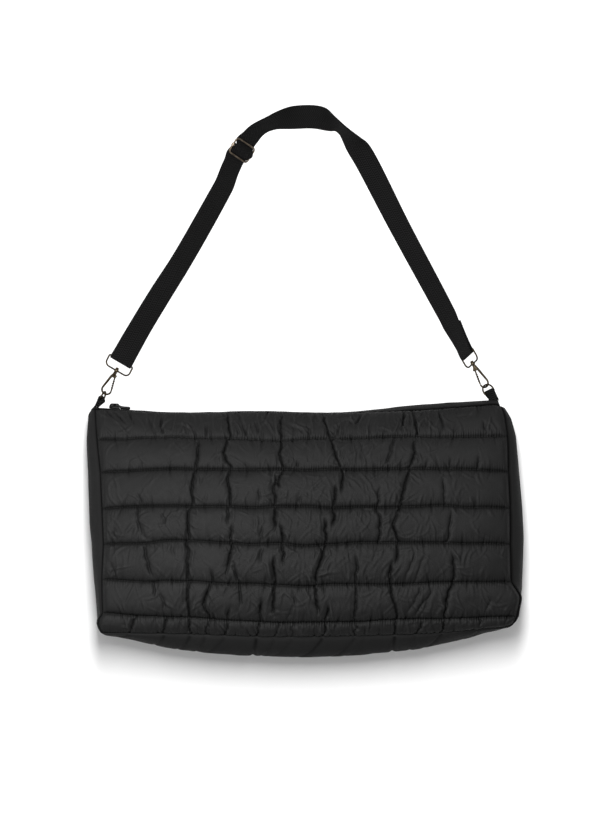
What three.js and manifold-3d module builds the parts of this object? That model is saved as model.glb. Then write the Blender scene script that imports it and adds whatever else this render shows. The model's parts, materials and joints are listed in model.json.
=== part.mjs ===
// Padded crossbody bag, lying on its back with its webbing strap laid out above it.
// X runs across the bag, Y from the base towards the strap, Z up from the surface it lies on.
// The origin is on that surface. All sizes are in millimetres.

import * as THREE from 'three';
import { mergeVertices } from 'three/addons/utils/BufferGeometryUtils.js';
import Module from 'manifold-3d';

const wasm = await Module();
wasm.setup();

// Driving dimensions
const GAP = 0.3; // between pieces that touch
const PINCH = 2.4; // padded wall where the quilting stitches hold it down
const GUSSET_WALL = 2.2; // plain cloth with a thin backing
const STRIP_WALL = 1.6; // folded cloth beside the zip
const TAPE_WALL = 1.0; // zip tape
const COIL_WALL = 1.8; // closed zip coil
const BACK_FLOOR = 11; // inner face of the back panel above the surface
const BACK_PUFF = 13; // padding of the back panel, flattened where it rests
const WEBBING_WIDTH = 30;
const WEBBING_THICK = 2;
const LAYER_STEP = WEBBING_THICK + 0.5; // from one webbing layer to the next
const LOOP_WIRE = 1.0; // wire radii of the metal fittings
const HOOK_WIRE = 1.15;
const GATE_WIRE = 1.0;
const RING_WIRE = 1.1;
const BUCKLE_WIRE = 1.1;
const WIRE_SIDES = 6;
const TURNED_SIDES = 10; // of turned pieces and bores
const WIRE_ARC = 3; // half the steps of a bend in a wire
const ARC_STEPS = 6;
const TAB_WIDTH = 12;
const TAB_THICK = 1.6;

// Quilting lines of the panels, from the zip seam to the base seam. Each row gives the line's y at
// even steps from the left seam to the right seam, the x of both seams, the height of the front wall's
// inner face at the side seams and in the middle, the puff of the channel below the line, and how far
// the gusset stands out past the left and the right seam.
const QUILT_LINES = [
  { y: [-37, -42.5, -41, -42.5, -39, -30.5], left_x: -265.5, right_x: 249, side_z: 40, crown_z: 44,
    puff: 8, left_out: 5, right_out: 4 },
  { y: [-75, -73.5, -76.5, -75, -73, -71], left_x: -263, right_x: 255, side_z: 55, crown_z: 68,
    puff: 10, left_out: 11, right_out: 8 },
  { y: [-116.5, -112.5, -114, -114, -112.5, -115.5], left_x: -258.5, right_x: 256, side_z: 65, crown_z: 84,
    puff: 12, left_out: 15, right_out: 11.5 },
  { y: [-162, -159, -160, -160, -159, -161.5], left_x: -256.5, right_x: 258, side_z: 73, crown_z: 95,
    puff: 13, left_out: 16, right_out: 13.5 },
  { y: [-206.5, -203.5, -207, -206.5, -204.5, -206.5], left_x: -254.5, right_x: 258, side_z: 78, crown_z: 101,
    puff: 13, left_out: 16, right_out: 16.5 },
  { y: [-250.5, -253.5, -257, -256.5, -254, -254], left_x: -256.5, right_x: 259, side_z: 80, crown_z: 102,
    puff: 12, left_out: 11, right_out: 14 },
  { y: [-292.5, -297.5, -303.5, -303, -299, -297], left_x: -255.5, right_x: 266, side_z: 80, crown_z: 96,
    puff: 7, left_out: 7.5, right_out: 3 },
  { y: [-317.5, -318.5, -321.5, -320.5, -317.5, -308], left_x: -257.5, right_x: 261, side_z: 77, crown_z: 86,
    puff: 0, left_out: 2.8, right_out: 2.8 },
];
// How far the gusset stands out below the base seam, and the zip strips above the zip seam, at even
// steps from left to right.
const BASE_OUT = [2.8, 22, 27, 27, 18, 2.8];
const ZIP_OUT = [3.5, 3, 3, 3, 9, 4];

// Crush folds of the front panel: x where each crosses the quilting lines from the zip to the base,
// and how deep it cuts into the padding above and below the middle line.
const FRONT_FOLDS = [
  { x: [-196, -196, -209, -207, -197, -191, -209, -220], upper: 0.25, lower: 0.6 },
  { x: [-152, -137, -138, -142, -147, -147.5, -147.5, -145.5], upper: 0.6, lower: 0.85 },
  { x: [-100, -94, -96, -96, -94, -88, -85, -96.5], upper: 0.85, lower: 0.7 },
  { x: [-29.5, -32, -29.5, -36, -28.5, -37, -37, -58.5], upper: 0.85, lower: 0.8 },
  { x: [24.5, 31, 45, 37, 26, 14.5, 24.5, 26], upper: 0.75, lower: 0.8 },
  { x: [58.5, 60, 66, 84, 71, 65, 63.5, 69], upper: 0.35, lower: 0.55 },
  { x: [135.5, 140.5, 133, 120.5, 119, 106.5, 111.5, 112.5], upper: 0.8, lower: 0.85 },
  { x: [171, 173.5, 182, 177, 177, 181, 176, 173.5], upper: 0.3, lower: 0.6 },
  { x: [217.5, 225, 215, 211.5, 222.5, 217.5, 220, 215], upper: 0.2, lower: 0.3 },
];
const BACK_FOLDS = [-180, -95, 0, 95, 180].map((x) => ({
  x: QUILT_LINES.map(() => x),
  upper: 0.3,
  lower: 0.3,
}));
const ROW_STEPS = [0, 0.18, 0.5, 0.82]; // rows of points in one channel
const CELL_STEPS = [0, 0.13, 0.5, 0.87]; // columns of points between two folds
const FRONT_ROUND = 0.6; // how full a channel's section is

// Strap route over the surface from the left loop, over the top, to the right loop: x, y, the roll in
// degrees that lifts the outer edge, and the room for layers under the middle of the webbing.
const STRAP_ROUTE = [
  { x: -210, y: 65.5, roll: 24, under: 3.6 },
  { x: -183.5, y: 109, roll: 27, under: 3.6 },
  { x: -157, y: 150.5, roll: 34, under: 3.6 },
  { x: -120, y: 214.5, roll: 36, under: 3.8 },
  { x: -92, y: 266, roll: 41, under: 5.5 },
  { x: -80.5, y: 291, roll: 43, under: 6 },
  { x: -61, y: 313.5, roll: 56, under: 2 },
  { x: -38.5, y: 328, roll: 48, under: 2.4 },
  { x: -7, y: 333.5, roll: 4, under: 2 },
  { x: 18, y: 332.5, roll: 12, under: 2 },
  { x: 37, y: 324, roll: 58, under: 2.4 },
  { x: 47.5, y: 316, roll: 66, under: 1.2 },
  { x: 58.5, y: 303.5, roll: 46, under: 1.2 },
  { x: 70.5, y: 288, roll: 18, under: 1.2 },
  { x: 120, y: 193, roll: 30, under: 2 },
  { x: 179.5, y: 82, roll: 40, under: 3 },
];
const BUCKLE_ROW = 6; // the route point, counted with the left loop as 0, where the buckle sits
const STRAP_STEP = 14; // length between webbing sections
const TURN_STEP = 4.5; // the same where the strap turns its two corners
const TOP_TURNS = 200; // length from the buckle to the end of the second corner
const RIGHT_TURN_BACK = 42; // sewn return at the right loop

// Clasps: the strap bar's centre and roll, the seat of the tab on the bag and the tab's width direction
// there, the rolls of hook and ring, and the side that the gate is on.
const CLASPS = {
  left: {
    bar: [-233, 25, 7.4], bar_roll: 14, seat: [-264.8, -38.2, 26], seat_across: [0.25, 0, 1],
    hook_roll: 6, ring_roll: 74, gate_side: 1,
  },
  right: {
    bar: [204.5, 33.5, 16.5], bar_roll: 58, seat: [238, -23.9, 26], seat_across: [1, 0.12, 0.25],
    hook_roll: -32, ring_roll: 30, gate_side: -1,
  },
};

// Clasp pieces, measured along the clasp from the strap bar's centre
const LOOP_HALF = 17.2;
const LOOP_DROP = 14.2;
const LOOP_BAR_CORNER = 2;
const LOOP_FAR_CORNER = 6;
const COLLAR_RADIUS = 3;
const COLLAR_HALF = 2.2;
const COLLAR_BORE = 1.5;
const POST_RADIUS = 1.2;
const HOOK_HALF = 6;
const HOOK_CENTRE = 42.2; // centre of the bow
const HOOK_NOSE_ANGLE = 172; // where the bow ends under the gate
const PIVOT_DROP = 22;
const PIVOT_SIDE = 2.1;
const KNUCKLE_RADIUS = 1.8;
const KNUCKLE_HALF = 1.2;
const KNUCKLE_BORE = 1.0;
const PIN_RADIUS = 0.7;
const SPINE_TOP = 3.4; // where the hook's wire begins, above the pivot
const SPINE_SHOULDER = 2; // where it bends outwards, below the pivot
const YOKE_WIDTH = 2.4;
const YOKE_HEIGHT = 2;
const YOKE_DROP = 1.5; // from the neck to the yoke's middle
const CHEEK_DROP = 0.8; // from the neck to the cheeks' tops
const CHEEK_WALL = 0.9;
const RING_HALF = 7.5;
const RING_CORNER = 1.5;
const RING_TOP = HOOK_CENTRE + HOOK_HALF - HOOK_WIRE - GAP - RING_WIRE;
const RING_BAR = RING_TOP + 11.2;

// Slide buckle
const BUCKLE_HALF = 18.1;
const BUCKLE_REACH = 10.4; // from its centre bar to its end bars
const BUCKLE_CORNER = 4;
const BUCKLE_SLEEVE = 2.0;

// Zip slider and pull
const SLIDER_X = -242;
const SLIDER_LENGTH = 12.6;
const SLIDER_WIDTH = 8.4;
const SLIDER_PLATE = 2.2;
const EYE_OUTER = 2.7;
const EYE_INNER = 1.5;
const EYE_AT = 3.6; // from the slider's middle towards the pull
const PULL_LENGTH = 17;
const PULL_WIDTH = 6;
const PULL_THICK = 1.6;

const UP = new THREE.Vector3(0, 0, 1);
const radians = THREE.MathUtils.degToRad;
const lerp = THREE.MathUtils.lerp;

// A smooth function through values given at increasing places
function smooth(places, values) {
  const curve = new THREE.CubicInterpolant(places, values, 1);
  return (at) => curve.evaluate(at)[0];
}

// A function that eases from each value to the next between increasing places, and never past them
function eased(places, values) {
  return (at) => {
    const above = places.findIndex((place) => place > at);
    if (above === 0) return values[0];
    if (above < 0) return values.at(-1);
    const share = THREE.MathUtils.smoothstep(at, places[above - 1], places[above]);
    return lerp(values[above - 1], values[above], share);
  };
}

function evenly(values) {
  return smooth(values.map((_, i) => i / (values.length - 1)), values);
}

const lineY = QUILT_LINES.map((line) => evenly(line.y));

// Materials
function finish(colour, roughness, metalness) {
  return new THREE.MeshStandardMaterial({ color: colour, roughness, metalness });
}
const quiltCloth = () => finish(0x1b1b1d, 0.55, 0);
const plainCloth = () => finish(0x19191b, 0.6, 0);
const webbing = () => finish(0x161617, 0.85, 0);
const zipPlastic = () => finish(0x101011, 0.5, 0);
const blackMetal = () => finish(0x17171a, 0.4, 0.8);
const brass = () => finish(0x6b5a42, 0.38, 1);

const bag = new THREE.Group();

function addMesh(name, geometry, material, parent = bag) {
  const mesh = new THREE.Mesh(geometry, material);
  mesh.name = name;
  parent.add(mesh);
  return mesh;
}

// Closed meshes from points and triangles, with their faces turned outwards
function closedGeometry(points, triangles) {
  const edgeA = new THREE.Vector3();
  const volume = triangles.reduce((sum, [a, b, c]) => {
    edgeA.crossVectors(points[b], points[c]);
    return sum + points[a].dot(edgeA);
  }, 0);
  const turned = volume < 0 ? triangles.map(([a, b, c]) => [a, c, b]) : triangles;
  const geometry = new THREE.BufferGeometry().setFromPoints(points);
  geometry.setIndex(turned.flat());
  return geometry;
}

// Triangles between two rows of point numbers that run side by side
function stripBetween(rowA, rowB) {
  const triangles = [];
  let a = 0;
  let b = 0;
  while (a < rowA.length - 1 || b < rowB.length - 1) {
    const nextA = (a + 1) / (rowA.length - 1);
    const nextB = (b + 1) / (rowB.length - 1);
    if (nextA <= nextB) {
      triangles.push([rowA[a], rowB[b], rowA[a + 1]]);
      a += 1;
    } else {
      triangles.push([rowA[a], rowB[b], rowB[b + 1]]);
      b += 1;
    }
  }
  return triangles;
}

// A wall between two grids of points that share their corners' order
function wallBetween(gridA, gridB) {
  const points = [...gridA.flat(), ...gridB.flat()];
  let count = 0;
  const number = (grid) => grid.map((row) => row.map(() => count++));
  const numbersA = number(gridA);
  const numbersB = number(gridB);
  const triangles = [];
  for (let r = 0; r + 1 < numbersA.length; r += 1) {
    triangles.push(...stripBetween(numbersA[r], numbersA[r + 1]));
  }
  for (let r = 0; r + 1 < numbersB.length; r += 1) {
    triangles.push(...stripBetween(numbersB[r + 1], numbersB[r]));
  }
  const side = (numbers, column) => numbers.map((row) => row.at(column));
  triangles.push(...stripBetween(numbersB[0], numbersA[0]));
  triangles.push(...stripBetween(numbersA.at(-1), numbersB.at(-1)));
  triangles.push(...stripBetween(side(numbersA, 0), side(numbersB, 0)));
  triangles.push(...stripBetween(side(numbersB, -1), side(numbersA, -1)));
  return closedGeometry(points, triangles);
}

// Sections of equal length joined along a path, with capped or joined ends. A side between two sections
// is cut along one diagonal, or along the other one where the second section's number is in crossed.
function loft(sections, joined = false, crossed = new Set()) {
  const sides = sections[0].length;
  const points = sections.flat();
  const triangles = [];
  const last = joined ? sections.length : sections.length - 1;
  for (let s = 0; s < last; s += 1) {
    const here = s * sides;
    const next = ((s + 1) % sections.length) * sides;
    for (let i = 0; i < sides; i += 1) {
      const j = (i + 1) % sides;
      if (crossed.has(s + 1)) {
        triangles.push([here + i, here + j, next + i], [here + j, next + j, next + i]);
      } else {
        triangles.push([here + i, here + j, next + j], [here + i, next + j, next + i]);
      }
    }
  }
  if (!joined) {
    const end = (sections.length - 1) * sides;
    for (let i = 1; i + 1 < sides; i += 1) {
      triangles.push([0, i + 1, i], [end, end + i, end + i + 1]);
    }
  }
  return closedGeometry(points, triangles);
}

// A round wire along a path in the local XY plane
function flatWire(path, radius, joined) {
  const line = path.getPoints(WIRE_ARC).filter((p, i, all) => i === 0 || p.distanceTo(all[i - 1]) > 0.01);
  if (joined && line[0].distanceTo(line.at(-1)) < 0.01) line.pop();
  const count = line.length;
  const sections = line.map((p, i) => {
    const before = line[joined ? (i + count - 1) % count : Math.max(i - 1, 0)];
    const after = line[joined ? (i + 1) % count : Math.min(i + 1, count - 1)];
    const along = after.clone().sub(before).normalize();
    return Array.from({ length: WIRE_SIDES }, (_, k) => {
      const turn = (2 * Math.PI * (k + 0.5)) / WIRE_SIDES;
      const across = radius * Math.cos(turn);
      return new THREE.Vector3(p.x - along.y * across, p.y + along.x * across, radius * Math.sin(turn));
    });
  });
  return loft(sections, joined);
}

// Joins and cuts of closed meshes
function solid(geometry) {
  const bare = geometry.clone();
  bare.deleteAttribute('normal');
  bare.deleteAttribute('uv');
  const merged = mergeVertices(bare, 1e-4);
  const vertProperties = new Float32Array(merged.attributes.position.array);
  const triVerts = new Uint32Array(merged.index.array);
  return new wasm.Manifold(new wasm.Mesh({ numProp: 3, vertProperties, triVerts }));
}

function geometryOf(manifold) {
  const mesh = manifold.getMesh();
  const geometry = new THREE.BufferGeometry();
  geometry.setAttribute('position', new THREE.BufferAttribute(mesh.vertProperties, 3));
  geometry.setIndex(new THREE.BufferAttribute(mesh.triVerts, 1));
  return geometry;
}

function joined(...geometries) {
  return geometries.map(solid).reduce((sum, next) => sum.add(next));
}

// A turned piece about the local Y axis, from pairs of radius and place along it
function turned(profile) {
  return new THREE.LatheGeometry(profile.map(([r, y]) => new THREE.Vector2(r, y)), TURNED_SIDES);
}

// A plate in the local XY plane, centred on it
function plate(shape, thickness) {
  const geometry = new THREE.ExtrudeGeometry(shape, {
    depth: thickness,
    bevelEnabled: false,
    curveSegments: ARC_STEPS,
  });
  return geometry.translate(0, 0, -thickness / 2);
}

// Padded panels
const LINE_COUNT = QUILT_LINES.length;
const lineWidth = (line) => QUILT_LINES[line].right_x - QUILT_LINES[line].left_x;

// x of every column on one quilting line
function columnsOnLine(folds, line) {
  const stops = [QUILT_LINES[line].left_x, ...folds.map((f) => f.x[line]), QUILT_LINES[line].right_x];
  const columns = [];
  for (let cell = 0; cell + 1 < stops.length; cell += 1) {
    columns.push(...CELL_STEPS.map((f) => lerp(stops[cell], stops[cell + 1], f)));
  }
  return [...columns, stops.at(-1)];
}

// Share of the padding left at a column: none at the side seams, less in the folds
function fullness(folds, column, line) {
  const columnCount = CELL_STEPS.length * (folds.length + 1);
  if (column === 0 || column === columnCount) return 0;
  const step = CELL_STEPS[column % CELL_STEPS.length];
  const cell = Math.floor(column / CELL_STEPS.length);
  const depthOf = (i) => {
    if (i < 0 || i >= folds.length) return 1;
    return line < LINE_COUNT / 2 - 1 ? folds[i].upper : folds[i].lower;
  };
  const shoulder = 0.28;
  if (step === 0) return 1 - depthOf(cell - 1);
  if (step < 0.5) return 1 - shoulder * depthOf(cell - 1);
  if (step > 0.5) return 1 - shoulder * depthOf(cell);
  return 1;
}

function crown(share) {
  return 1 - Math.abs(2 * share - 1) ** 3;
}

// Rows of points of a panel: its inner face at the quilting lines, its outer face at every row
function panelGrids(folds, innerZ, outerZ) {
  const columns = QUILT_LINES.map((_, line) => columnsOnLine(folds, line));
  const onLine = (line, column) => {
    const x = columns[line][column];
    const share = (x - QUILT_LINES[line].left_x) / lineWidth(line);
    return new THREE.Vector3(x, lineY[line](share), innerZ(line, share));
  };
  const count = columns[0].length;
  const rowOn = (line) => Array.from({ length: count }, (_, c) => onLine(line, c));
  const lines = QUILT_LINES.map((_, line) => rowOn(line));
  const outer = [];
  for (let line = 0; line + 1 < LINE_COUNT; line += 1) {
    for (const step of ROW_STEPS) {
      const round = (4 * step * (1 - step)) ** FRONT_ROUND;
      outer.push(lines[line].map((point, c) => {
        const place = point.clone().lerp(lines[line + 1][c], step);
        place.z = outerZ(place.z, round * fullness(folds, c, line), line);
        return place;
      }));
    }
  }
  outer.push(lines.at(-1).map((point) => point.clone().setZ(outerZ(point.z, 0, LINE_COUNT - 1))));
  return { inner: lines, outer };
}

const frontInner = (line, share) =>
  lerp(QUILT_LINES[line].side_z, QUILT_LINES[line].crown_z, crown(share));
const frontOuter = (inner, full, line) => inner + PINCH + QUILT_LINES[line].puff * full;
const backOuter = (inner, full) => Math.max(0, inner - PINCH - BACK_PUFF * full);

const frontPanel = panelGrids(FRONT_FOLDS, frontInner, frontOuter);
addMesh('front_panel', wallBetween(frontPanel.outer, frontPanel.inner), quiltCloth());
const backPanel = panelGrids(BACK_FOLDS, () => BACK_FLOOR, backOuter);
addMesh('back_panel', wallBetween(backPanel.inner, backPanel.outer), quiltCloth());

// Walls that stand between the front and the back panel: sections across them run from the front seam
// (0) to the back seam (1) and bow outwards between.
const BACK_EDGE = BACK_FLOOR - PINCH;
const bow = (across) => Math.sin(Math.PI * across ** 0.9) ** 0.8;

function rimPoint(stop, across, out) {
  const reach = out + Math.max(stop.out - GUSSET_WALL - GAP, 0) * bow(across);
  const z = lerp(stop.front_z, BACK_EDGE, across);
  return new THREE.Vector3(stop.x + stop.out_x * reach, stop.y + stop.out_y * reach, z);
}

function rimWall(stops, acrossSteps, out, thickness) {
  const grid = (level) => stops.map((stop) => acrossSteps.map((across) => rimPoint(stop, across, level)));
  return wallBetween(grid(out + thickness), grid(out));
}

// Stops down one side seam, with a stop between each two quilting lines
const SIDE_STEPS = [0, 0.5];
const GUSSET_START = 0.08; // the gusset begins a little below the zip seam, where the tab comes out
function sideStops(seam, sign) {
  const stops = [];
  for (let line = 0; line + 1 < LINE_COUNT; line += 1) {
    for (const share of SIDE_STEPS) {
      const step = line === 0 && share === 0 ? GUSSET_START : share;
      const here = QUILT_LINES[line];
      const next = QUILT_LINES[line + 1];
      stops.push({
        x: lerp(here[`${seam}_x`], next[`${seam}_x`], step),
        y: lerp(lineY[line](sign < 0 ? 0 : 1), lineY[line + 1](sign < 0 ? 0 : 1), step),
        out: lerp(here[`${seam}_out`], next[`${seam}_out`], step),
        front_z: lerp(here.side_z, next.side_z, step) + PINCH,
        out_x: sign,
        out_y: 0,
      });
    }
  }
  return stops;
}

// A stop on the zip seam or the base seam at a share of its length
function crossStop(line, share, out, sign) {
  const x = lerp(QUILT_LINES[line].left_x, QUILT_LINES[line].right_x, share);
  return { x, y: lineY[line](share), out, front_z: frontInner(line, share) + PINCH, out_x: 0, out_y: sign };
}

const BASE_STEPS = 18;
const baseOut = evenly(BASE_OUT);
const baseStops = Array.from({ length: BASE_STEPS + 1 }, (_, i) => {
  const share = i / BASE_STEPS;
  return crossStop(LINE_COUNT - 1, share, baseOut(share), -1);
});
const CORNER_TURN = Math.SQRT1_2;
Object.assign(baseStops[0], { out_x: -CORNER_TURN, out_y: -CORNER_TURN });
Object.assign(baseStops.at(-1), { out_x: CORNER_TURN, out_y: -CORNER_TURN });
const gussetStops = [...sideStops('left', -1), ...baseStops, ...sideStops('right', 1).reverse()];
const GUSSET_ACROSS = [0, 0.12, 0.3, 0.52, 0.76, 1];
addMesh('gusset', rimWall(gussetStops, GUSSET_ACROSS, GAP, GUSSET_WALL), plainCloth());

// Zip closure between the two panels
const ZIP_STEPS = 22;
const ZIP_FROM = 0.012;
const ZIP_TO = 0.995;
const zipOut = evenly(ZIP_OUT);
const zipStopAt = (share) => crossStop(0, share, zipOut(share), 1);
const zipShare = (step) => lerp(ZIP_FROM, ZIP_TO, step / ZIP_STEPS);
const zipStops = Array.from({ length: ZIP_STEPS + 1 }, (_, i) => zipStopAt(zipShare(i)));
const STRIP_EDGE = 0.4; // where a strip ends beside the coil
const TAPE_EDGE = 0.33;
const COIL_EDGE = 0.43;
const stripAcross = [0, 0.2, STRIP_EDGE];
addMesh('zip_strip_front', rimWall(zipStops, stripAcross, GAP, STRIP_WALL), plainCloth());
addMesh('zip_strip_back', rimWall(zipStops, stripAcross.map((a) => 1 - a), GAP, STRIP_WALL), plainCloth());
addMesh('zip_tape', rimWall(zipStops, [TAPE_EDGE, 1 - TAPE_EDGE], -TAPE_WALL, TAPE_WALL), zipPlastic());
addMesh('zip_coil', rimWall(zipStops, [COIL_EDGE, 1 - COIL_EDGE], GAP, COIL_WALL), zipPlastic());

// Slider on the coil near the left end, and its pull, which swings about an upright axis
const sliderShare = (SLIDER_X - QUILT_LINES[0].left_x) / lineWidth(0);
const zipMiddle = (share) => rimPoint(zipStopAt(share), 0.5, GAP + COIL_WALL + GAP);
const sliderAt = zipMiddle(sliderShare);
const zipAhead = zipMiddle(sliderShare + SLIDER_LENGTH / lineWidth(0)).sub(sliderAt);
const slider = new THREE.Group();
slider.position.copy(sliderAt);
slider.rotation.z = Math.atan2(zipAhead.y, zipAhead.x);
bag.add(slider);

const eyeOut = SLIDER_PLATE + EYE_OUTER - GAP;
const sliderHalf = SLIDER_LENGTH / 2;
const nose = SLIDER_WIDTH / 4;
const sliderShape = new THREE.Shape();
sliderShape.moveTo(-sliderHalf, -nose);
sliderShape.lineTo(-nose, -SLIDER_WIDTH / 2);
sliderShape.lineTo(sliderHalf, -SLIDER_WIDTH / 2);
sliderShape.lineTo(sliderHalf, SLIDER_WIDTH / 2);
sliderShape.lineTo(-nose, SLIDER_WIDTH / 2);
sliderShape.lineTo(-sliderHalf, nose);
const sliderPlate = plate(sliderShape, SLIDER_PLATE).rotateX(-Math.PI / 2);
sliderPlate.translate(0, SLIDER_PLATE / 2, 0);
const eyeShape = new THREE.Shape().absarc(EYE_AT, eyeOut, EYE_OUTER, 0, 2 * Math.PI);
eyeShape.holes.push(new THREE.Path().absarc(EYE_AT, eyeOut, EYE_INNER, 0, 2 * Math.PI, true));
const sliderSolid = joined(sliderPlate, plate(eyeShape, 2));
addMesh('zip_slider', geometryOf(sliderSolid), blackMetal(), slider);

const pull = new THREE.Group();
pull.position.set(EYE_AT, eyeOut, 0);
slider.add(pull);
const barHalf = PULL_THICK / 2;
const pullTip = PULL_LENGTH - PULL_WIDTH / 2;
const pullShape = new THREE.Shape();
pullShape.moveTo(-barHalf, -PULL_WIDTH / 2 + 0.6);
pullShape.lineTo(pullTip, -PULL_WIDTH / 2);
pullShape.absarc(pullTip, 0, PULL_WIDTH / 2, -Math.PI / 2, Math.PI / 2);
pullShape.lineTo(-barHalf, PULL_WIDTH / 2 - 0.6);
const slotHalf = 1.5;
const slotEnd = EYE_OUTER + 2;
const slot = new THREE.Path();
slot.moveTo(barHalf, -slotHalf);
slot.lineTo(barHalf, slotHalf);
slot.lineTo(slotEnd, slotHalf);
slot.lineTo(slotEnd, -slotHalf);
pullShape.holes.push(slot);
addMesh('zip_pull', plate(pullShape, PULL_THICK).rotateX(-Math.PI / 2), blackMetal(), pull);

// Clasps: a strap loop with a swivel collar, a hook with a sprung gate, a ring and its tab
function claspFrame(clasp) {
  const bar = new THREE.Vector3(...clasp.bar);
  const seat = new THREE.Vector3(...clasp.seat);
  const up = bar.clone().sub(seat).normalize();
  const level = new THREE.Vector3().crossVectors(up, UP).normalize();
  return { bar, seat, up, level };
}

// The local frame of one piece of a clasp: Y along the clasp towards the strap, rolled about it
function rolledGroup(frame, roll) {
  const x = frame.level.clone().applyAxisAngle(frame.up, radians(roll));
  const z = new THREE.Vector3().crossVectors(x, frame.up);
  const group = new THREE.Group();
  group.setRotationFromMatrix(new THREE.Matrix4().makeBasis(x, frame.up, z));
  group.position.copy(frame.bar);
  bag.add(group);
  return { group, x, z };
}

const quarter = Math.PI / 2;
function loopGeometry() {
  const path = new THREE.Path();
  const near = LOOP_BAR_CORNER;
  const far = LOOP_FAR_CORNER;
  path.moveTo(-LOOP_HALF + near, 0);
  path.lineTo(LOOP_HALF - near, 0);
  path.absarc(LOOP_HALF - near, -near, near, quarter, 0, true);
  path.absarc(LOOP_HALF - far, far - LOOP_DROP, far, 0, -quarter, true);
  path.absarc(far - LOOP_HALF, far - LOOP_DROP, far, -quarter, -2 * quarter, true);
  path.absarc(near - LOOP_HALF, -near, near, 2 * quarter, quarter, true);
  const wire = flatWire(path, LOOP_WIRE, true);
  const rim = COLLAR_RADIUS * 0.72;
  const collar = turned([
    [0, -LOOP_DROP - COLLAR_HALF], [rim, -LOOP_DROP - COLLAR_HALF], [COLLAR_RADIUS, -LOOP_DROP],
    [rim, -LOOP_DROP + COLLAR_HALF], [0, -LOOP_DROP + COLLAR_HALF],
  ]);
  const bore = new THREE.CylinderGeometry(COLLAR_BORE, COLLAR_BORE, LOOP_DROP, TURNED_SIDES);
  return geometryOf(joined(wire, collar).subtract(solid(bore.translate(0, -LOOP_DROP, 0))));
}

// The gate's pivot and the hook's nose, on the gate side
const nosePoint = new THREE.Vector2(
  HOOK_HALF * Math.cos(radians(HOOK_NOSE_ANGLE)),
  -HOOK_CENTRE + HOOK_HALF * Math.sin(radians(HOOK_NOSE_ANGLE)),
);
function hookGeometry(side) {
  const path = new THREE.Path();
  path.moveTo(-side * 0.2, -PIVOT_DROP + SPINE_TOP);
  path.lineTo(-side * (PIVOT_SIDE + 0.4), -PIVOT_DROP - SPINE_SHOULDER);
  const from = side > 0 ? Math.PI - 0.2 : 0.2;
  const past = radians(180 - HOOK_NOSE_ANGLE);
  const to = side > 0 ? 2 * Math.PI + past : -Math.PI - past;
  path.absarc(0, -HOOK_CENTRE, HOOK_HALF, from, (from + to) / 2, side < 0);
  path.absarc(0, -HOOK_CENTRE, HOOK_HALF, (from + to) / 2, to, side < 0);
  const wire = flatWire(path, HOOK_WIRE, false);
  const head = -LOOP_DROP + COLLAR_HALF + GAP;
  const neck = -LOOP_DROP - COLLAR_HALF - GAP;
  const post = turned([
    [0, head + 1.6], [1.6, head + 1.4], [2.3, head + 0.5], [2.3, head], [POST_RADIUS, head],
    [POST_RADIUS, neck], [2.2, neck], [2.4, neck - 1.2], [1.7, neck - 3.2], [0, neck - 3.2],
  ].reverse());
  const cheekShape = new THREE.Shape();
  cheekShape.absarc(side * PIVOT_SIDE, -PIVOT_DROP, KNUCKLE_RADIUS, -quarter, quarter, side < 0);
  cheekShape.lineTo(side * 0.6, neck - CHEEK_DROP);
  cheekShape.lineTo(-side * 1.6, neck - CHEEK_DROP);
  cheekShape.lineTo(-side * (PIVOT_SIDE + 1.1), -PIVOT_DROP - KNUCKLE_RADIUS);
  const cheekAt = KNUCKLE_HALF + GAP + CHEEK_WALL / 2;
  const cheek = (sign) => plate(cheekShape, CHEEK_WALL).translate(0, 0, sign * cheekAt);
  const pin = new THREE.CylinderGeometry(PIN_RADIUS, PIN_RADIUS, 2 * cheekAt, WIRE_SIDES);
  pin.rotateX(quarter).translate(side * PIVOT_SIDE, -PIVOT_DROP, 0);
  const yoke = new THREE.BoxGeometry(YOKE_WIDTH, YOKE_HEIGHT, 2 * cheekAt + CHEEK_WALL);
  yoke.translate(-side * 0.4, neck - YOKE_DROP, 0);
  return geometryOf(joined(wire, post, yoke, cheek(1), cheek(-1), pin));
}

// The gate, about its own pivot
function gateGeometry(side) {
  const tip = new THREE.Vector2(side * -nosePoint.x - side * PIVOT_SIDE, nosePoint.y + PIVOT_DROP);
  const length = tip.length() - GAP - 0.2;
  tip.setLength(length);
  const start = tip.clone().setLength(KNUCKLE_RADIUS - 0.4);
  const bar = flatWire(new THREE.Path([start, tip.clone().multiplyScalar(0.5), tip]), GATE_WIRE, false);
  const knuckle = new THREE.CylinderGeometry(KNUCKLE_RADIUS, KNUCKLE_RADIUS, 2 * KNUCKLE_HALF, TURNED_SIDES);
  const bore = new THREE.CylinderGeometry(KNUCKLE_BORE, KNUCKLE_BORE, 4 * KNUCKLE_HALF, TURNED_SIDES);
  return geometryOf(joined(bar, knuckle.rotateX(quarter)).subtract(solid(bore.rotateX(quarter))));
}

function ringGeometry() {
  const path = new THREE.Path();
  const inner = RING_HALF - RING_CORNER;
  path.moveTo(inner, -RING_BAR);
  path.lineTo(-inner, -RING_BAR);
  path.absarc(-inner, -RING_BAR + RING_CORNER, RING_CORNER, -quarter, -2 * quarter, true);
  path.absarc(0, -RING_TOP - RING_HALF, RING_HALF, 2 * quarter, quarter, true);
  path.absarc(0, -RING_TOP - RING_HALF, RING_HALF, quarter, 0, true);
  path.absarc(inner, -RING_BAR + RING_CORNER, RING_CORNER, 0, -quarter, true);
  return flatWire(path, RING_WIRE, true);
}

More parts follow.
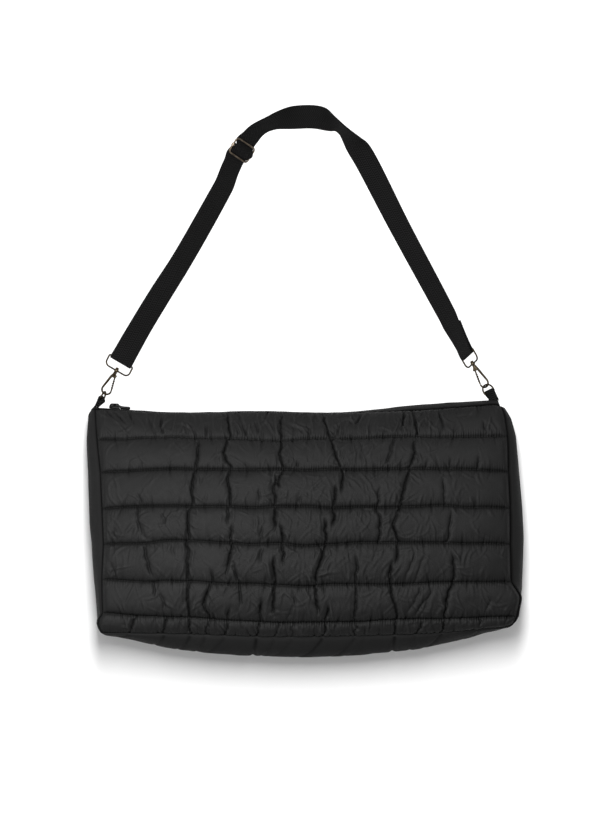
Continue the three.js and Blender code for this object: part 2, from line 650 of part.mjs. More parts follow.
// Flat webbing through a list of places, each with its across and face directions. A layer that runs back
// under another is cut along the other diagonal, so that the two stay parallel where they twist.
function webbingGeometry(places, width, thickness) {
  const sections = places.map(({ at, across, face }) => {
    const edge = (side) => at.clone().addScaledVector(across, (side * width) / 2);
    const corner = (side, level) => edge(side).addScaledVector(face, (level * thickness) / 2);
    return [corner(-1, -1), corner(1, -1), corner(1, 1), corner(-1, 1)];
  });
  const backRuns = places.map((place, i) => (place.back ? i : 0));
  return loft(sections, false, new Set(backRuns.filter((i) => i > 0)));
}

// The places of a layer in the order of its way back, with its face turned over
function runBack(places) {
  const over = ({ at, across, face }) => ({ at, across, face: face.clone().negate(), back: true });
  return places.map(over).reverse();
}

const FOLD_STEPS = 6;
// A half turn round a bar from its face side to its far side, in the bar's own frame
function foldRound(centre, towards, face, across, radius) {
  return Array.from({ length: FOLD_STEPS + 1 }, (_, i) => {
    const turn = (Math.PI * i) / FOLD_STEPS;
    const out = face.clone().multiplyScalar(Math.cos(turn)).addScaledVector(towards, Math.sin(turn));
    return { at: centre.clone().addScaledVector(out, radius), across, face: out };
  });
}

const LEG_STEPS = [0, 0.23, 0.46, 0.7]; // shares of the way from the seat to the ring
function tabGeometry(frame, ring, seatAcross) {
  const foldRadius = RING_WIRE + GAP + TAB_THICK / 2;
  const seatLayer = TAB_THICK / 2 + GAP;
  const bar = frame.bar.clone().addScaledVector(frame.up, -RING_BAR);
  const fold = foldRound(bar, frame.up, ring.z, ring.x, foldRadius);
  const across = new THREE.Vector3(...seatAcross).normalize();
  if (across.dot(ring.x) < 0) across.negate();
  const leg = (sign) => LEG_STEPS.map((share) => {
    const middle = frame.seat.clone().lerp(bar, share);
    const wide = across.clone().lerp(ring.x, share).normalize();
    const face = new THREE.Vector3().crossVectors(wide, frame.up).normalize();
    const offset = sign * lerp(seatLayer, foldRadius, share ** 2);
    return { at: middle.addScaledVector(face, offset), across: wide, face };
  });
  return webbingGeometry([...leg(1), ...fold, ...runBack(leg(-1))], TAB_WIDTH, TAB_THICK);
}

const claspBars = {};
for (const [name, clasp] of Object.entries(CLASPS)) {
  const frame = claspFrame(clasp);
  const loop = rolledGroup(frame, clasp.bar_roll * clasp.gate_side);
  const hook = rolledGroup(frame, clasp.hook_roll);
  const ring = rolledGroup(frame, clasp.ring_roll);
  const side = clasp.gate_side;
  addMesh(`${name}_swivel_loop`, loopGeometry(), brass(), loop.group);
  addMesh(`${name}_hook_body`, hookGeometry(side), brass(), hook.group);
  const pivot = new THREE.Group();
  pivot.position.set(side * PIVOT_SIDE, -PIVOT_DROP, 0);
  hook.group.add(pivot);
  addMesh(`${name}_hook_gate`, gateGeometry(side), brass(), pivot);
  addMesh(`${name}_d_ring`, ringGeometry(), brass(), ring.group);
  addMesh(`${name}_tab`, tabGeometry(frame, ring, clasp.seat_across), webbing());
  claspBars[name] = { frame, loop };
}

// Strap: one length of webbing. It is sewn round the buckle's centre bar, runs down under itself to the
// left loop, turns back up through the buckle, over the top and down to the right loop.
const routePoints = [
  { at: claspBars.left.frame.bar, roll: CLASPS.left.bar_roll },
  ...STRAP_ROUTE.map(({ x, y, roll, under }) => {
    const lift = (WEBBING_WIDTH / 2) * Math.sin(radians(roll)) + under * Math.cos(radians(roll)) + GAP;
    return { at: new THREE.Vector3(x, y, lift), roll };
  }),
  { at: claspBars.right.frame.bar, roll: CLASPS.right.bar_roll },
];
const spine = new THREE.CatmullRomCurve3(routePoints.map((p) => p.at), false, 'centripetal');
const rollAlong = evenly(routePoints.map((p) => p.roll));
const lastRow = routePoints.length - 1;

// The spine's frame at one of its parameters: the outer side across, and the face away from the surface
function spineFrame(t) {
  const along = spine.getTangent(t);
  const outer = new THREE.Vector3(-along.y, along.x, 0).normalize();
  const across = outer.applyAxisAngle(along, radians(rollAlong(t)));
  return { at: spine.getPoint(t), along, across };
}

const SPINE_SAMPLES = 600;
const lengths = [0];
for (let i = 1; i <= SPINE_SAMPLES; i += 1) {
  const step = spine.getPoint(i / SPINE_SAMPLES).distanceTo(spine.getPoint((i - 1) / SPINE_SAMPLES));
  lengths.push(lengths[i - 1] + step);
}
const total = lengths.at(-1);
const END_TURN = 40; // length over which the webbing turns to lie square on a loop's bar
const leftAcross = claspBars.left.loop.x.clone().negate();
const rightAcross = claspBars.right.loop.x;
function rawFrame(length) {
  const above = Math.max(1, lengths.findIndex((l) => l >= length - 1e-6));
  const share = (length - lengths[above - 1]) / (lengths[above] - lengths[above - 1]);
  return spineFrame((above - 1 + share) / SPINE_SAMPLES);
}

// The webbing lies square on the loops' bars at its ends and runs straight through the buckle
const buckleLength = lengths[Math.round((SPINE_SAMPLES * BUCKLE_ROW) / lastRow)];
const buckleRaw = rawFrame(buckleLength);
const BUCKLE_STRAIGHT = BUCKLE_REACH + 2;
function spineAtLength(length) {
  const { at, along, across } = rawFrame(length);
  const past = length - buckleLength;
  const straightEnd = BUCKLE_STRAIGHT + END_TURN;
  const straight = 1 - THREE.MathUtils.smoothstep(Math.abs(past), BUCKLE_STRAIGHT, straightEnd);
  at.lerp(buckleRaw.at.clone().addScaledVector(buckleRaw.along, past), straight);
  along.lerp(buckleRaw.along, straight).normalize();
  across.lerp(buckleRaw.across, straight);
  across.lerp(leftAcross, Math.max(0, 1 - length / END_TURN));
  across.lerp(rightAcross, Math.max(0, 1 - (total - length) / END_TURN)).normalize();
  const face = new THREE.Vector3().crossVectors(along, across).normalize();
  return { at, along, across, face };
}

// A place on the webbing at a length along the spine, offset towards its face
function layerPlace(length, offset) {
  const frame = spineAtLength(length);
  return { at: frame.at.addScaledVector(frame.face, offset), across: frame.across, face: frame.face };
}

function layer(from, to, offsetAt, step = STRAP_STEP) {
  const count = Math.max(2, Math.round((to - from) / step));
  return Array.from({ length: count + 1 }, (_, i) => {
    const length = lerp(from, to, i / count);
    return layerPlace(length, offsetAt(length));
  });
}

const barFold = LOOP_WIRE + GAP + WEBBING_THICK / 2;
const buckleUnder = -(BUCKLE_WIRE + GAP + WEBBING_THICK / 2);
const buckleFold = -buckleUnder;
const half = LAYER_STEP / 2;
const LOOP_LEAD = 14; // length over which the two layers close up beside a bar
const BUCKLE_LEAD = 12;
const NEAR_BAR = 3; // where a straight layer gives over to the turn round a bar
const endBar = BUCKLE_REACH;
const underEnd = endBar / 4; // where the under layer meets the turn round the buckle's bar
const runOffset = eased(
  [
    NEAR_BAR, LOOP_LEAD, buckleLength - endBar - BUCKLE_LEAD, buckleLength - endBar, buckleLength,
    buckleLength + endBar, buckleLength + endBar + BUCKLE_LEAD, total - RIGHT_TURN_BACK - LOOP_LEAD,
    total - RIGHT_TURN_BACK, total - LOOP_LEAD, total - NEAR_BAR,
  ],
  [barFold, half, 0, buckleUnder, buckleFold + LAYER_STEP, buckleUnder, 0, 0, half, half, barFold],
);
const underOffset = eased(
  [NEAR_BAR, LOOP_LEAD, buckleLength - endBar - BUCKLE_LEAD, buckleLength - endBar, buckleLength - underEnd],
  [-barFold, -half, -LAYER_STEP, buckleUnder - LAYER_STEP, buckleUnder - 0.4],
);

const leftEnd = spineAtLength(0);
const rightEnd = spineAtLength(total);
const buckleFrame = spineAtLength(buckleLength);
const leftAway = leftEnd.along.clone().negate();
const leftFold = foldRound(leftEnd.at, leftAway, leftEnd.face, leftEnd.across, barFold);
const rightFold = foldRound(rightEnd.at, rightEnd.along, rightEnd.face, rightEnd.across, barFold);
const { along: buckleAlong, face: buckleFace, across: buckleAcross } = buckleFrame;
const buckleTurn = foldRound(buckleFrame.at, buckleAlong, buckleFace, buckleAcross, buckleFold);
const BEFORE_BUCKLE = [-0.75, -0.5, -0.25]; // shares of the way from the buckle's centre bar to its end bars
const OVER_BUCKLE = [...BEFORE_BUCKLE, 0, 0.25, 0.5, 0.75];
const atBuckle = (shares, offsetAt) => shares.map((share) => {
  const length = buckleLength + share * endBar;
  return layerPlace(length, offsetAt(length));
});
const upperRun = [
  ...layer(NEAR_BAR, buckleLength - endBar, runOffset),
  ...atBuckle(OVER_BUCKLE, runOffset),
  ...layer(buckleLength + endBar, buckleLength + TOP_TURNS, runOffset, TURN_STEP),
  ...layer(buckleLength + TOP_TURNS, total - RIGHT_TURN_BACK, runOffset).slice(1),
  ...layer(total - RIGHT_TURN_BACK, total - NEAR_BAR, runOffset).slice(1),
];
const underRun = [
  ...layer(NEAR_BAR, buckleLength - endBar, underOffset),
  ...atBuckle(BEFORE_BUCKLE, underOffset),
];
const returnRun = layer(total - RIGHT_TURN_BACK, total - NEAR_BAR, () => -half);
const tailPlace = layerPlace(buckleLength - 3.2, 0.9);
const strapPlaces = [
  tailPlace,
  ...buckleTurn,
  ...runBack(underRun),
  ...leftFold.reverse(),
  ...upperRun,
  ...rightFold,
  ...runBack(returnRun),
];
addMesh('strap', webbingGeometry(strapPlaces, WEBBING_WIDTH, WEBBING_THICK), webbing());

// Slide buckle: a wire frame, and a centre bar whose sleeves run on the frame's sides
const buckle = new THREE.Group();
const buckleBasis = new THREE.Matrix4().makeBasis(
  buckleFrame.across.clone().negate(),
  buckleFrame.along,
  buckleFrame.face,
);
buckle.setRotationFromMatrix(buckleBasis);
buckle.position.copy(buckleFrame.at);
bag.add(buckle);
const bucklePath = new THREE.Path();
const sideIn = BUCKLE_HALF - BUCKLE_CORNER;
const endIn = BUCKLE_REACH - BUCKLE_CORNER;
bucklePath.absarc(sideIn, endIn, BUCKLE_CORNER, 0, quarter);
bucklePath.absarc(-sideIn, endIn, BUCKLE_CORNER, quarter, 2 * quarter);
bucklePath.absarc(-sideIn, -endIn, BUCKLE_CORNER, 2 * quarter, 3 * quarter);
bucklePath.absarc(sideIn, -endIn, BUCKLE_CORNER, 3 * quarter, 4 * quarter);
addMesh('buckle_frame', flatWire(bucklePath, BUCKLE_WIRE, true), brass(), buckle);

const sleeveBore = BUCKLE_WIRE + GAP;
const sleeve = (sign) => {
  const ring = new THREE.CylinderGeometry(BUCKLE_SLEEVE, BUCKLE_SLEEVE, 2 * BUCKLE_SLEEVE, TURNED_SIDES);
  return ring.translate(sign * BUCKLE_HALF, 0, 0);
};
const bore = (sign) => {
  const cut = new THREE.CylinderGeometry(sleeveBore, sleeveBore, 4 * BUCKLE_SLEEVE, TURNED_SIDES);
  return solid(cut.translate(sign * BUCKLE_HALF, 0, 0));
};
const centreBar = new THREE.CylinderGeometry(BUCKLE_WIRE, BUCKLE_WIRE, 2 * BUCKLE_HALF, WIRE_SIDES);
centreBar.rotateZ(quarter);
const barSolid = joined(centreBar, sleeve(1), sleeve(-1)).subtract(bore(1)).subtract(bore(-1));
addMesh('buckle_bar', geometryOf(barSolid), brass(), buckle);

bag.updateMatrixWorld(true);
export default bag;
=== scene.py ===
# Looks for the padded crossbody bag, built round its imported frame. The bag lies on its back, X across
# it, Y towards the strap, Z up. Sizes are in millimetres until a mesh is made.
import json
import math

import bpy
import mathutils
import numpy as np
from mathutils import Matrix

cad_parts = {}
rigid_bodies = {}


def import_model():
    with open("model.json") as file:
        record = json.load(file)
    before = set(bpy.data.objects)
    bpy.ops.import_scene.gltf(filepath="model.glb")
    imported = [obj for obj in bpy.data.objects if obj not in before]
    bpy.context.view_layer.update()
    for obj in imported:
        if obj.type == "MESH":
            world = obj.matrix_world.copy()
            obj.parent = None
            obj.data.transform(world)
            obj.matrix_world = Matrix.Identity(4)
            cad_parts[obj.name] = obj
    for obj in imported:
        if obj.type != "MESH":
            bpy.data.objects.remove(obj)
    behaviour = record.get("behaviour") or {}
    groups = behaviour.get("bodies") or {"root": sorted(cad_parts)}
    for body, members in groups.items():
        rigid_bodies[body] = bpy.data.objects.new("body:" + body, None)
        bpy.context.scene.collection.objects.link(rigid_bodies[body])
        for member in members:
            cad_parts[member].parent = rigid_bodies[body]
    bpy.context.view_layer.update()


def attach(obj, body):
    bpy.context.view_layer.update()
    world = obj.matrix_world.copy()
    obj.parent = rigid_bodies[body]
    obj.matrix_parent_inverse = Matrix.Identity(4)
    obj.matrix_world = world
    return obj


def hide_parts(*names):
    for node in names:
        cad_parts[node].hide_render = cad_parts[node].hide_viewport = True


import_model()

# Camera: straight above the bag, far off with a long lens, as in the flat-lay picture. It takes in the bag
# and the whole strap.
IMAGE_WIDTH = 616
MM_PER_PIXEL = 1.2615
CAMERA_HEIGHT = 20.0
FOCUS_HEIGHT = 0.06
camera_data = bpy.data.cameras.new("camera")
camera_data.sensor_fit = "HORIZONTAL"
camera_data.sensor_width = 36.0
view_width = IMAGE_WIDTH * MM_PER_PIXEL / 1000
camera_data.lens = camera_data.sensor_width * (CAMERA_HEIGHT - FOCUS_HEIGHT) / view_width
camera_data.clip_end = 50
camera = bpy.data.objects.new("camera", camera_data)
camera.location = (0.0032, -0.0378, CAMERA_HEIGHT)
bpy.context.scene.collection.objects.link(camera)
bpy.context.scene.camera = camera

# Front panel: black satin nylon over wadding, sewn down along six lines into puffed channels and
# crushed across them by upright folds. Its edges are sewn to the gusset and the zip strips.
MM = 0.001
GAP = 0.3
PINCH = 2.4
LINE_Y = np.array([
    [-37, -42.5, -41, -42.5, -39, -30.5],
    [-75, -73.5, -76.5, -75, -73, -71],
    [-116.5, -112.5, -114, -114, -112.5, -115.5],
    [-162, -159, -160, -160, -159, -161.5],
    [-206.5, -203.5, -207, -206.5, -204.5, -206.5],
    [-250.5, -253.5, -257, -256.5, -254, -254],
    [-292.5, -297.5, -303.5, -303, -299, -297],
    [-317.5, -318.5, -321.5, -320.5, -317.5, -308],
])
LEFT_X = np.array([-265.5, -263, -258.5, -256.5, -254.5, -256.5, -255.5, -257.5])
RIGHT_X = np.array([249, 255, 256, 258, 258, 259, 266, 261])
SIDE_Z = np.array([40, 55, 65, 73, 78, 80, 80, 77])
CROWN_Z = np.array([44, 68, 84, 95, 101, 102, 96, 86])
PUFF = np.array([8, 10, 12, 13, 13, 12, 7])
LINE_WAVER = np.array([0, 1.6, 1.4, 1.4, 2.2, 2.2, 1.2, 0])
# Creases in each channel from the zip to the base: x at the channel's upper line, middle and lower line,
# where the crease starts and ends as shares of the channel's height, and how much of the padding it takes.
CREASES = [
    [
        (-178, -180, -182, 0.2, 0.95, 0.4), (-125, -125, -125, 0.5, 1, 0.35),
        (-100, -98, -93, 0.1, 1, 0.85), (-31, -32, -31.5, 0.1, 1, 0.95), (21, 24.5, 29.5, 0.1, 1, 0.95),
        (74, 66, 60, 0.1, 0.6, 0.5), (123, 122, 119, 0.05, 0.75, 0.85), (135.5, 138, 142, 0.2, 1, 0.8),
        (169.5, 172, 174.5, 0.1, 0.7, 0.5), (217.5, 217.5, 217, 0, 0.35, 0.4),
        (225, 225, 225, 0.55, 1, 0.35), (-152, -146, -137, 0.55, 1, 0.3), (-85, -79, -72.5, 0.45, 1, 0.3),
        (-70, -62.5, -55, 0.4, 1, 0.25), (-7, 0, 5.5, 0.5, 1, 0.3), (50, 43.5, 38.5, 0.5, 1, 0.3),
        (-196, -194, -191, 0.3, 0.9, 0.2), (-252, -240, -228, 0.02, 0.35, 0.6),
        (-244, -228, -212, 0.05, 0.5, 0.4), (-226, -216, -206, 0.02, 0.5, 0.35),
    ],
    [
        (-134.5, -136, -139.5, 0.05, 1, 0.75), (-94, -100.5, -94.5, 0, 1, 0.85),
        (-31.5, -32, -28.5, 0, 1, 0.95), (31, 37, 45, 0, 1, 0.95), (111.5, 108, 97, 0, 0.9, 0.45),
        (140.5, 135.5, 130.5, 0.1, 1, 0.8), (-195.5, -195.5, -195, 0, 0.2, 0.4),
        (153, 153, 153, 0.75, 1, 0.4), (182, 182, 182, 0.7, 1, 0.4), (215, 216, 216, 0.65, 1, 0.45),
        (-210, -208, -206, 0.75, 1, 0.35), (-76, -76, -76, 0.75, 1, 0.35), (-7, -8, -9.5, 0.7, 1, 0.35),
        (68.5, 71, 74, 0.1, 0.7, 0.25),
    ],
    [
        (-138, -142, -143, 0, 1, 0.65), (-95, -97, -93.5, 0, 1, 0.85), (-28.5, -33.5, -37, 0, 0.55, 0.85),
        (-38.5, -38, -38, 0.2, 1, 0.85), (45.5, 45, 41, 0, 0.6, 0.9), (41, 36.5, 34.5, 0.45, 1, 0.9),
        (92.5, 91.5, 89.5, 0.5, 1, 0.55), (133, 124, 120, 0, 1, 0.9), (174.5, 174.5, 176, 0.3, 1, 0.3),
        (-211, -209, -206, 0.7, 1, 0.45), (212.5, 213, 212.5, 0.8, 1, 0.4), (-7, -7, -5.5, 0.6, 1, 0.3),
        (-60, -58.5, -57.5, 0.5, 0.9, 0.25),
    ],
    [
        (-209.5, -209, -196, 0, 0.9, 0.4), (-142, -148.5, -145.5, 0, 1, 0.7),
        (-96.5, -99, -100.5, 0, 0.5, 0.6), (-94, -92.5, -92, 0.5, 1, 0.6), (-38.5, -39, -39, 0, 0.65, 0.85),
        (-33.5, -30.5, -27, 0.5, 1, 0.85), (-50, -52.5, -56.5, 0.5, 1, 0.35),
        (35.5, 34.5, 32, 0, 0.5, 0.85), (26, 24.5, 25.5, 0.35, 1, 0.9), (90, 93.5, 90, 0, 1, 0.6),
        (118, 113, 119, 0, 1, 0.8), (183.5, 182, 177, 0.2, 1, 0.4), (-186, -176, -164.5, 0.1, 0.65, 0.22),
        (-254, -244, -234, 0.5, 0.95, 0.3), (-254, -248, -241.5, 0.65, 1, 0.25),
    ],
    [
        (-201, -198.5, -190, 0, 0.9, 0.4), (-147.5, -147.5, -146.5, 0, 1, 0.75),
        (-92.5, -96.5, -100.5, 0, 0.8, 0.65), (-91.5, -88.5, -85, 0.5, 1, 0.55),
        (-124, -121.5, -118.5, 0.7, 1, 0.5), (-27, -29, -31, 0, 0.55, 0.65),
        (-39, -38.5, -37, 0.35, 1, 0.85), (-55, -56, -57.5, 0.05, 0.5, 0.35), (24.5, 17, 13, 0, 1, 0.95),
        (64.5, 64.5, 64.5, 0.35, 1, 0.65), (118, 114, 111.5, 0, 0.5, 0.75), (110.5, 108, 105, 0.5, 1, 0.85),
        (177, 186, 182, 0.3, 1, 0.6), (-164.5, -163.5, -154.5, 0.1, 0.4, 0.3),
        (144.5, 133, 124, 0.2, 0.9, 0.22), (159.5, 145.5, 134.5, 0.3, 1, 0.22),
        (-253, -245, -236.5, 0.5, 1, 0.22),
    ],
    [
        (-190, -190.5, -191, 0, 0.35, 0.7), (-187.5, -181, -173.5, 0.3, 0.8, 0.4),
        (-147.5, -147.5, -147.5, 0, 1, 0.85), (-117.5, -126, -119.5, 0, 1, 0.75),
        (-85, -81.5, -81.5, 0, 0.6, 0.5), (-94, -94.5, -94.5, 0.6, 1, 0.55), (-37, -39, -40, 0, 0.8, 0.85),
        (-53.5, -55.5, -58.5, 0.4, 1, 0.75), (13, 15, 19, 0, 0.75, 0.9), (28.5, 27, 25.5, 0.55, 1, 0.65),
        (64.5, 63.5, 62.5, 0, 1, 0.65), (105, 111, 112.5, 0, 1, 0.95), (149.5, 135.5, 121.5, 0.1, 0.9, 0.3),
        (164.5, 149.5, 133, 0.15, 0.95, 0.3), (162, 154.5, 144.5, 0.4, 1, 0.25),
        (182, 177, 175.5, 0, 1, 0.75), (238, 231.5, 225, 0.5, 0.9, 0.3), (-19.5, -12, -7, 0.1, 0.6, 0.25),
        (-7, -14.5, -22, 0.6, 1, 0.35),
    ],
    [
        (-214, -217.5, -221.5, 0, 1, 0.8), (-173.5, -176, -178, 0, 1, 0.75),
        (-143.5, -144.5, -145.5, 0, 1, 0.75), (-119.5, -123, -127, 0, 1, 0.55),
        (-95.5, -99, -102, 0, 1, 0.55), (-58.5, -60, -62, 0, 1, 0.9), (-32.5, -36, -40, 0, 1, 0.45),
        (-13, -16, -17, 0, 1, 0.45), (25.5, 23.5, 21.5, 0, 1, 0.8), (62.5, 62.5, 62.5, 0, 1, 0.55),
        (74.5, 74.5, 74.5, 0.3, 0.9, 0.35), (112.5, 112.5, 112.5, 0, 1, 0.9),
        (149.5, 144.5, 138, 0.1, 1, 0.45), (175.5, 173.5, 172, 0, 1, 0.75), (219, 219, 220, 0, 0.6, 0.45),
    ],
]
# How crinkled the cloth is in each channel, at even steps from left to right
CRINKLE = np.array([
    [0.30, 0.50, 0.90, 1.00, 1.00, 0.90, 0.60, 0.30],
    [0.15, 0.20, 0.40, 0.70, 0.80, 0.70, 0.30, 0.20],
    [0.25, 0.25, 0.40, 0.60, 0.70, 0.60, 0.30, 0.20],
    [0.50, 0.40, 0.50, 0.80, 0.90, 0.80, 0.40, 0.20],
    [0.40, 0.50, 0.60, 0.90, 1.00, 1.00, 0.70, 0.25],
    [0.30, 0.50, 0.80, 0.90, 0.90, 1.00, 1.00, 0.50],
    [0.50, 0.70, 0.80, 0.90, 0.80, 0.90, 0.90, 0.70],
])


def through(values, at):
    """A smooth curve through evenly spaced values, read at places from 0 to 1."""
    values = np.asarray(values, float)
    place = np.clip(np.asarray(at, float), 0, 1) * (len(values) - 1)
    low = np.minimum(place.astype(int), len(values) - 2)
    s = (place - low).reshape((-1,) + (1,) * (values.ndim - 1)) if values.ndim > 1 else place - low
    last = len(values) - 1
    before, here = values[np.maximum(low - 1, 0)], values[low]
    there, after = values[low + 1], values[np.minimum(low + 2, last)]
    before = np.where(np.reshape(low == 0, s.shape), 2 * here - there, before)
    after = np.where(np.reshape(low == last - 1, s.shape), 2 * there - here, after)
    a, b = (there - before) / 2, (after - here) / 2
    return here + s * a + s**2 * (3 * (there - here) - 2 * a - b) + s**3 * (2 * (here - there) + a + b)


def noise(x, y, seed):
    """Smooth random hills between -1 and 1, one unit apart."""
    cells = 128
    lattice = np.random.default_rng(seed).uniform(-1, 1, (cells, cells))
    x0, y0 = np.floor(x).astype(int), np.floor(y).astype(int)
    fx, fy = x - x0, y - y0
    fx, fy = fx * fx * (3 - 2 * fx), fy * fy * (3 - 2 * fy)

    def pick(i, j):
        return lattice[(x0 + i) % cells, (y0 + j) % cells]

    near = pick(0, 0) * (1 - fx) + pick(1, 0) * fx
    far = pick(0, 1) * (1 - fx) + pick(1, 1) * fx
    return near * (1 - fy) + far * fy


def ease(value, low, high):
    """A smooth step from 0 to 1 between two values."""
    s = np.clip((value - low) / (high - low), 0, 1)
    return s * s * (3 - 2 * s)


def gathered_steps(count):
    """Places from 0 to 1, closer together towards both ends."""
    even = np.linspace(0, 1, count + 1)
    return 0.6 * even + 0.4 * (0.5 - 0.5 * np.cos(np.pi * even))


def add_object(name, points, faces):
    """A smooth mesh object from points in millimetres."""
    mesh = bpy.data.meshes.new(name)
    mesh.from_pydata((np.asarray(points, float).reshape(-1, 3) * MM).tolist(), [], faces)
    mesh.shade_smooth()
    mesh.update()
    made = bpy.data.objects.new(name, mesh)
    bpy.context.scene.collection.objects.link(made)
    return made


def grid_faces(rows, columns, joined_rows=False, joined_columns=False):
    """Faces of a grid of points that is stored row by row."""
    r = np.arange(rows if joined_rows else rows - 1)
    c = np.arange(columns if joined_columns else columns - 1)
    r, c = np.meshgrid(r, c, indexing="ij")
    r2, c2 = (r + 1) % rows, (c + 1) % columns
    quads = np.stack([r * columns + c, r2 * columns + c, r2 * columns + c2, r * columns + c2], -1)
    return quads.reshape(-1, 4).tolist()


class Socket:
    """A shader output that takes part in arithmetic: each sum or product becomes a Math node."""

    def __init__(self, tree, link=None):
        self.tree = tree
        self.link = link

    def make(self, kind, settings=None, inputs=None, output=0):
        node = self.tree.nodes.new(kind)
        for key, value in (settings or {}).items():
            setattr(node, key, value)
        for key, value in (inputs or {}).items():
            self.feed(node.inputs[key], value)
        return Socket(self.tree, node.outputs[output])

    def feed(self, entry, value):
        if isinstance(value, Socket):
            self.tree.links.new(value.link, entry)
        else:
            entry.default_value = value

    def math(self, operation, *values):
        return self.make("ShaderNodeMath", {"operation": operation}, dict(enumerate(values)))

    def __add__(self, other):
        return self.math("ADD", self, other)

    def __sub__(self, other):
        return self.math("SUBTRACT", self, other)

    def __mul__(self, other):
        return self.math("MULTIPLY", self, other)

    def __truediv__(self, other):
        return self.math("DIVIDE", self, other)

    def __radd__(self, other):
        return self.math("ADD", other, self)

    def __rsub__(self, other):
        return self.math("SUBTRACT", other, self)

    def __rmul__(self, other):
        return self.math("MULTIPLY", other, self)

    def __rtruediv__(self, other):
        return self.math("DIVIDE", other, self)

    def sine(self):
        return self.math("SINE", self)

    def mix(self, low, high):
        """A colour between two, by this factor."""
        settings = {"data_type": "RGBA", "clamp_factor": True}
        return self.make("ShaderNodeMix", settings, {0: self, 6: low, 7: high}, 2)

    def noise(self, places, scale, detail=2.0, roughness=0.5):
        inputs = {"Vector": places, "Scale": scale, "Detail": detail, "Roughness": roughness}
        return self.make("ShaderNodeTexNoise", None, inputs)

    def bump(self, height, distance, strength=1.0):
        inputs = {"Strength": strength, "Distance": distance, "Height": height}
        return self.make("ShaderNodeBump", None, inputs)

    def places(self):
        """Places on the piece itself."""
        return self.make("ShaderNodeTexCoord", output=3)

    def split(self):
        """The three parts of a vector."""
        node = self.make("ShaderNodeSeparateXYZ", None, {0: self}).link.node
        return [Socket(self.tree, part) for part in node.outputs]

    def value(self, name):
        """A value stored at each point of the mesh."""
        return self.make("ShaderNodeAttribute", {"attribute_name": name}, output=2)

    def dress(self, shader, **inputs):
        """Feeds the shader's inputs, by name."""
        for key, value in inputs.items():
            self.feed(shader.inputs[key.replace("_", " ")], value)


def new_material(name, **constants):
    """A material with its shader's constant values set, and a socket to build its nodes from."""
    made = bpy.data.materials.new(name)
    made.use_nodes = True
    shader = made.node_tree.nodes["Principled BSDF"]
    for key, value in constants.items():
        shader.inputs[key.replace("_", " ")].default_value = value
    return made, shader, Socket(made.node_tree)


def grey(value, warm=0.0):
    return (value * (1 + warm), value, value * (1 - warm), 1.0)


THREAD_PITCH, GATHER_PITCH = 0.55, 3.2


def nylon(name, dark, light, crinkle, gloss, gathered):
    """Satin nylon: a fine plain weave, a soft crinkle and an uneven sheen, with painted shade down in its
    creases and seams and a painted highlight on the crease lips and wrinkle tops. Quilted cloth is also
    gathered along its stitch lines, with painted shade in the gathers."""
    made, shader, nodes = new_material(name, Specular_IOR_Level=gloss)
    places = nodes.places()
    along, down, up = places.split()
    threads = 2 * math.pi / (THREAD_PITCH * MM)
    weave = (along * threads).sine() * ((down + up) * threads).sine()
    cloudy = nodes.noise(places, 22.0, 4.0)
    creased = nodes.noise(places, 160.0, 3.0, 0.6)
    shade = cloudy * 1.4 - 0.2
    height = weave * 0.05 + creased * crinkle
    sunk = nodes.value("sunk")
    if gathered:
        near_line = nodes.math("EXPONENT", nodes.value("from_line") * -0.3)
        patchy = nodes.noise(places, 38.0, 2.0) * 2.4 - 0.5
        gathers = (along * (2 * math.pi / (GATHER_PITCH * MM)) + cloudy * 14.0).sine() * near_line * patchy
        height = height + gathers * 0.9
        # The gathers are also painted darker: painted shade in their folds
        sunk = sunk + gathers * 0.45
    # Painted highlight on the crease lips and wrinkle tops, then painted shade, nearly black, in the creases,
    # stitch lines and seams
    colour = (nodes.value("raised") * 0.5).mix(shade.mix(grey(dark), grey(light)), grey(light * 2.1))
    colour = (sunk * 0.95).mix(colour, grey(0.0006))
    bump = nodes.bump(height, 0.5 * MM)
    nodes.dress(shader, Base_Color=colour, Roughness=0.5 + creased * 0.16, Normal=bump)
    return made


LINES = len(LINE_Y)
FULLNESS = 0.68
POINT_STEP = 1.27
COLUMNS = 410
share = np.linspace(0, 1, COLUMNS)
row_place = [0.0]
for channel in range(LINES - 1):
    count = round(abs(np.mean(LINE_Y[channel + 1] - LINE_Y[channel])) / POINT_STEP)
    row_place.extend(channel + gathered_steps(count)[1:])
row_place = np.array(row_place)
rows = len(row_place)


def lower_bulge(at, sign):
    """How far the lowest channels swell over the gusset on one side, at places counted in channels."""
    if sign < 0:
        return 4.0 * ease(at, 6.0, 6.4) * (1 - ease(at, 6.5, 7.0))
    return 8.5 * ease(at, 4.9, 5.5) * (1 - ease(at, 5.35, 6.1))


def quilt_base(side_z, crown_z):
    """The panel's inner face, a row of points for each place down the channels."""
    on_line = LEFT_X[:, None] + (RIGHT_X - LEFT_X)[:, None] * share
    y_line = np.array([through(line, share) for line in LINE_Y])
    waver = noise(on_line / 34.0, np.arange(LINES)[:, None] * 7.3 + 0 * on_line, 61)
    y_line = y_line + LINE_WAVER[:, None] * waver * ease(np.minimum(share, 1 - share), 0, 0.08)
    z_line = side_z[:, None] + (crown_z - side_z)[:, None] * (1 - np.abs(2 * share - 1) ** 3)
    at = row_place / (LINES - 1)

    def straight(table):
        return np.array([np.interp(row_place, np.arange(LINES), column) for column in table.T]).T

    inside = ease(np.minimum(share, 1 - share), 0, 0.06)[None, :]
    z = straight(z_line) * (1 - inside) + through(z_line, at) * inside
    swell = lower_bulge(row_place, 1)[:, None] * ease(share, 0.9, 1)
    swell = swell - lower_bulge(row_place, -1)[:, None] * ease(share, 0.1, 0)
    return np.stack([straight(on_line) + swell, straight(y_line), z], -1)


# Each rounded corner in plan: which way it points in x and y, how far out it lies and its radius
CORNERS = [
    (1, 1, 258.0, -25.0, 24.0), (-1, 1, 274.5, -36.0, 9.0),
    (-1, -1, 260.5, 320.5, 8.0), (1, -1, 264.0, 311.0, 9.0),
]


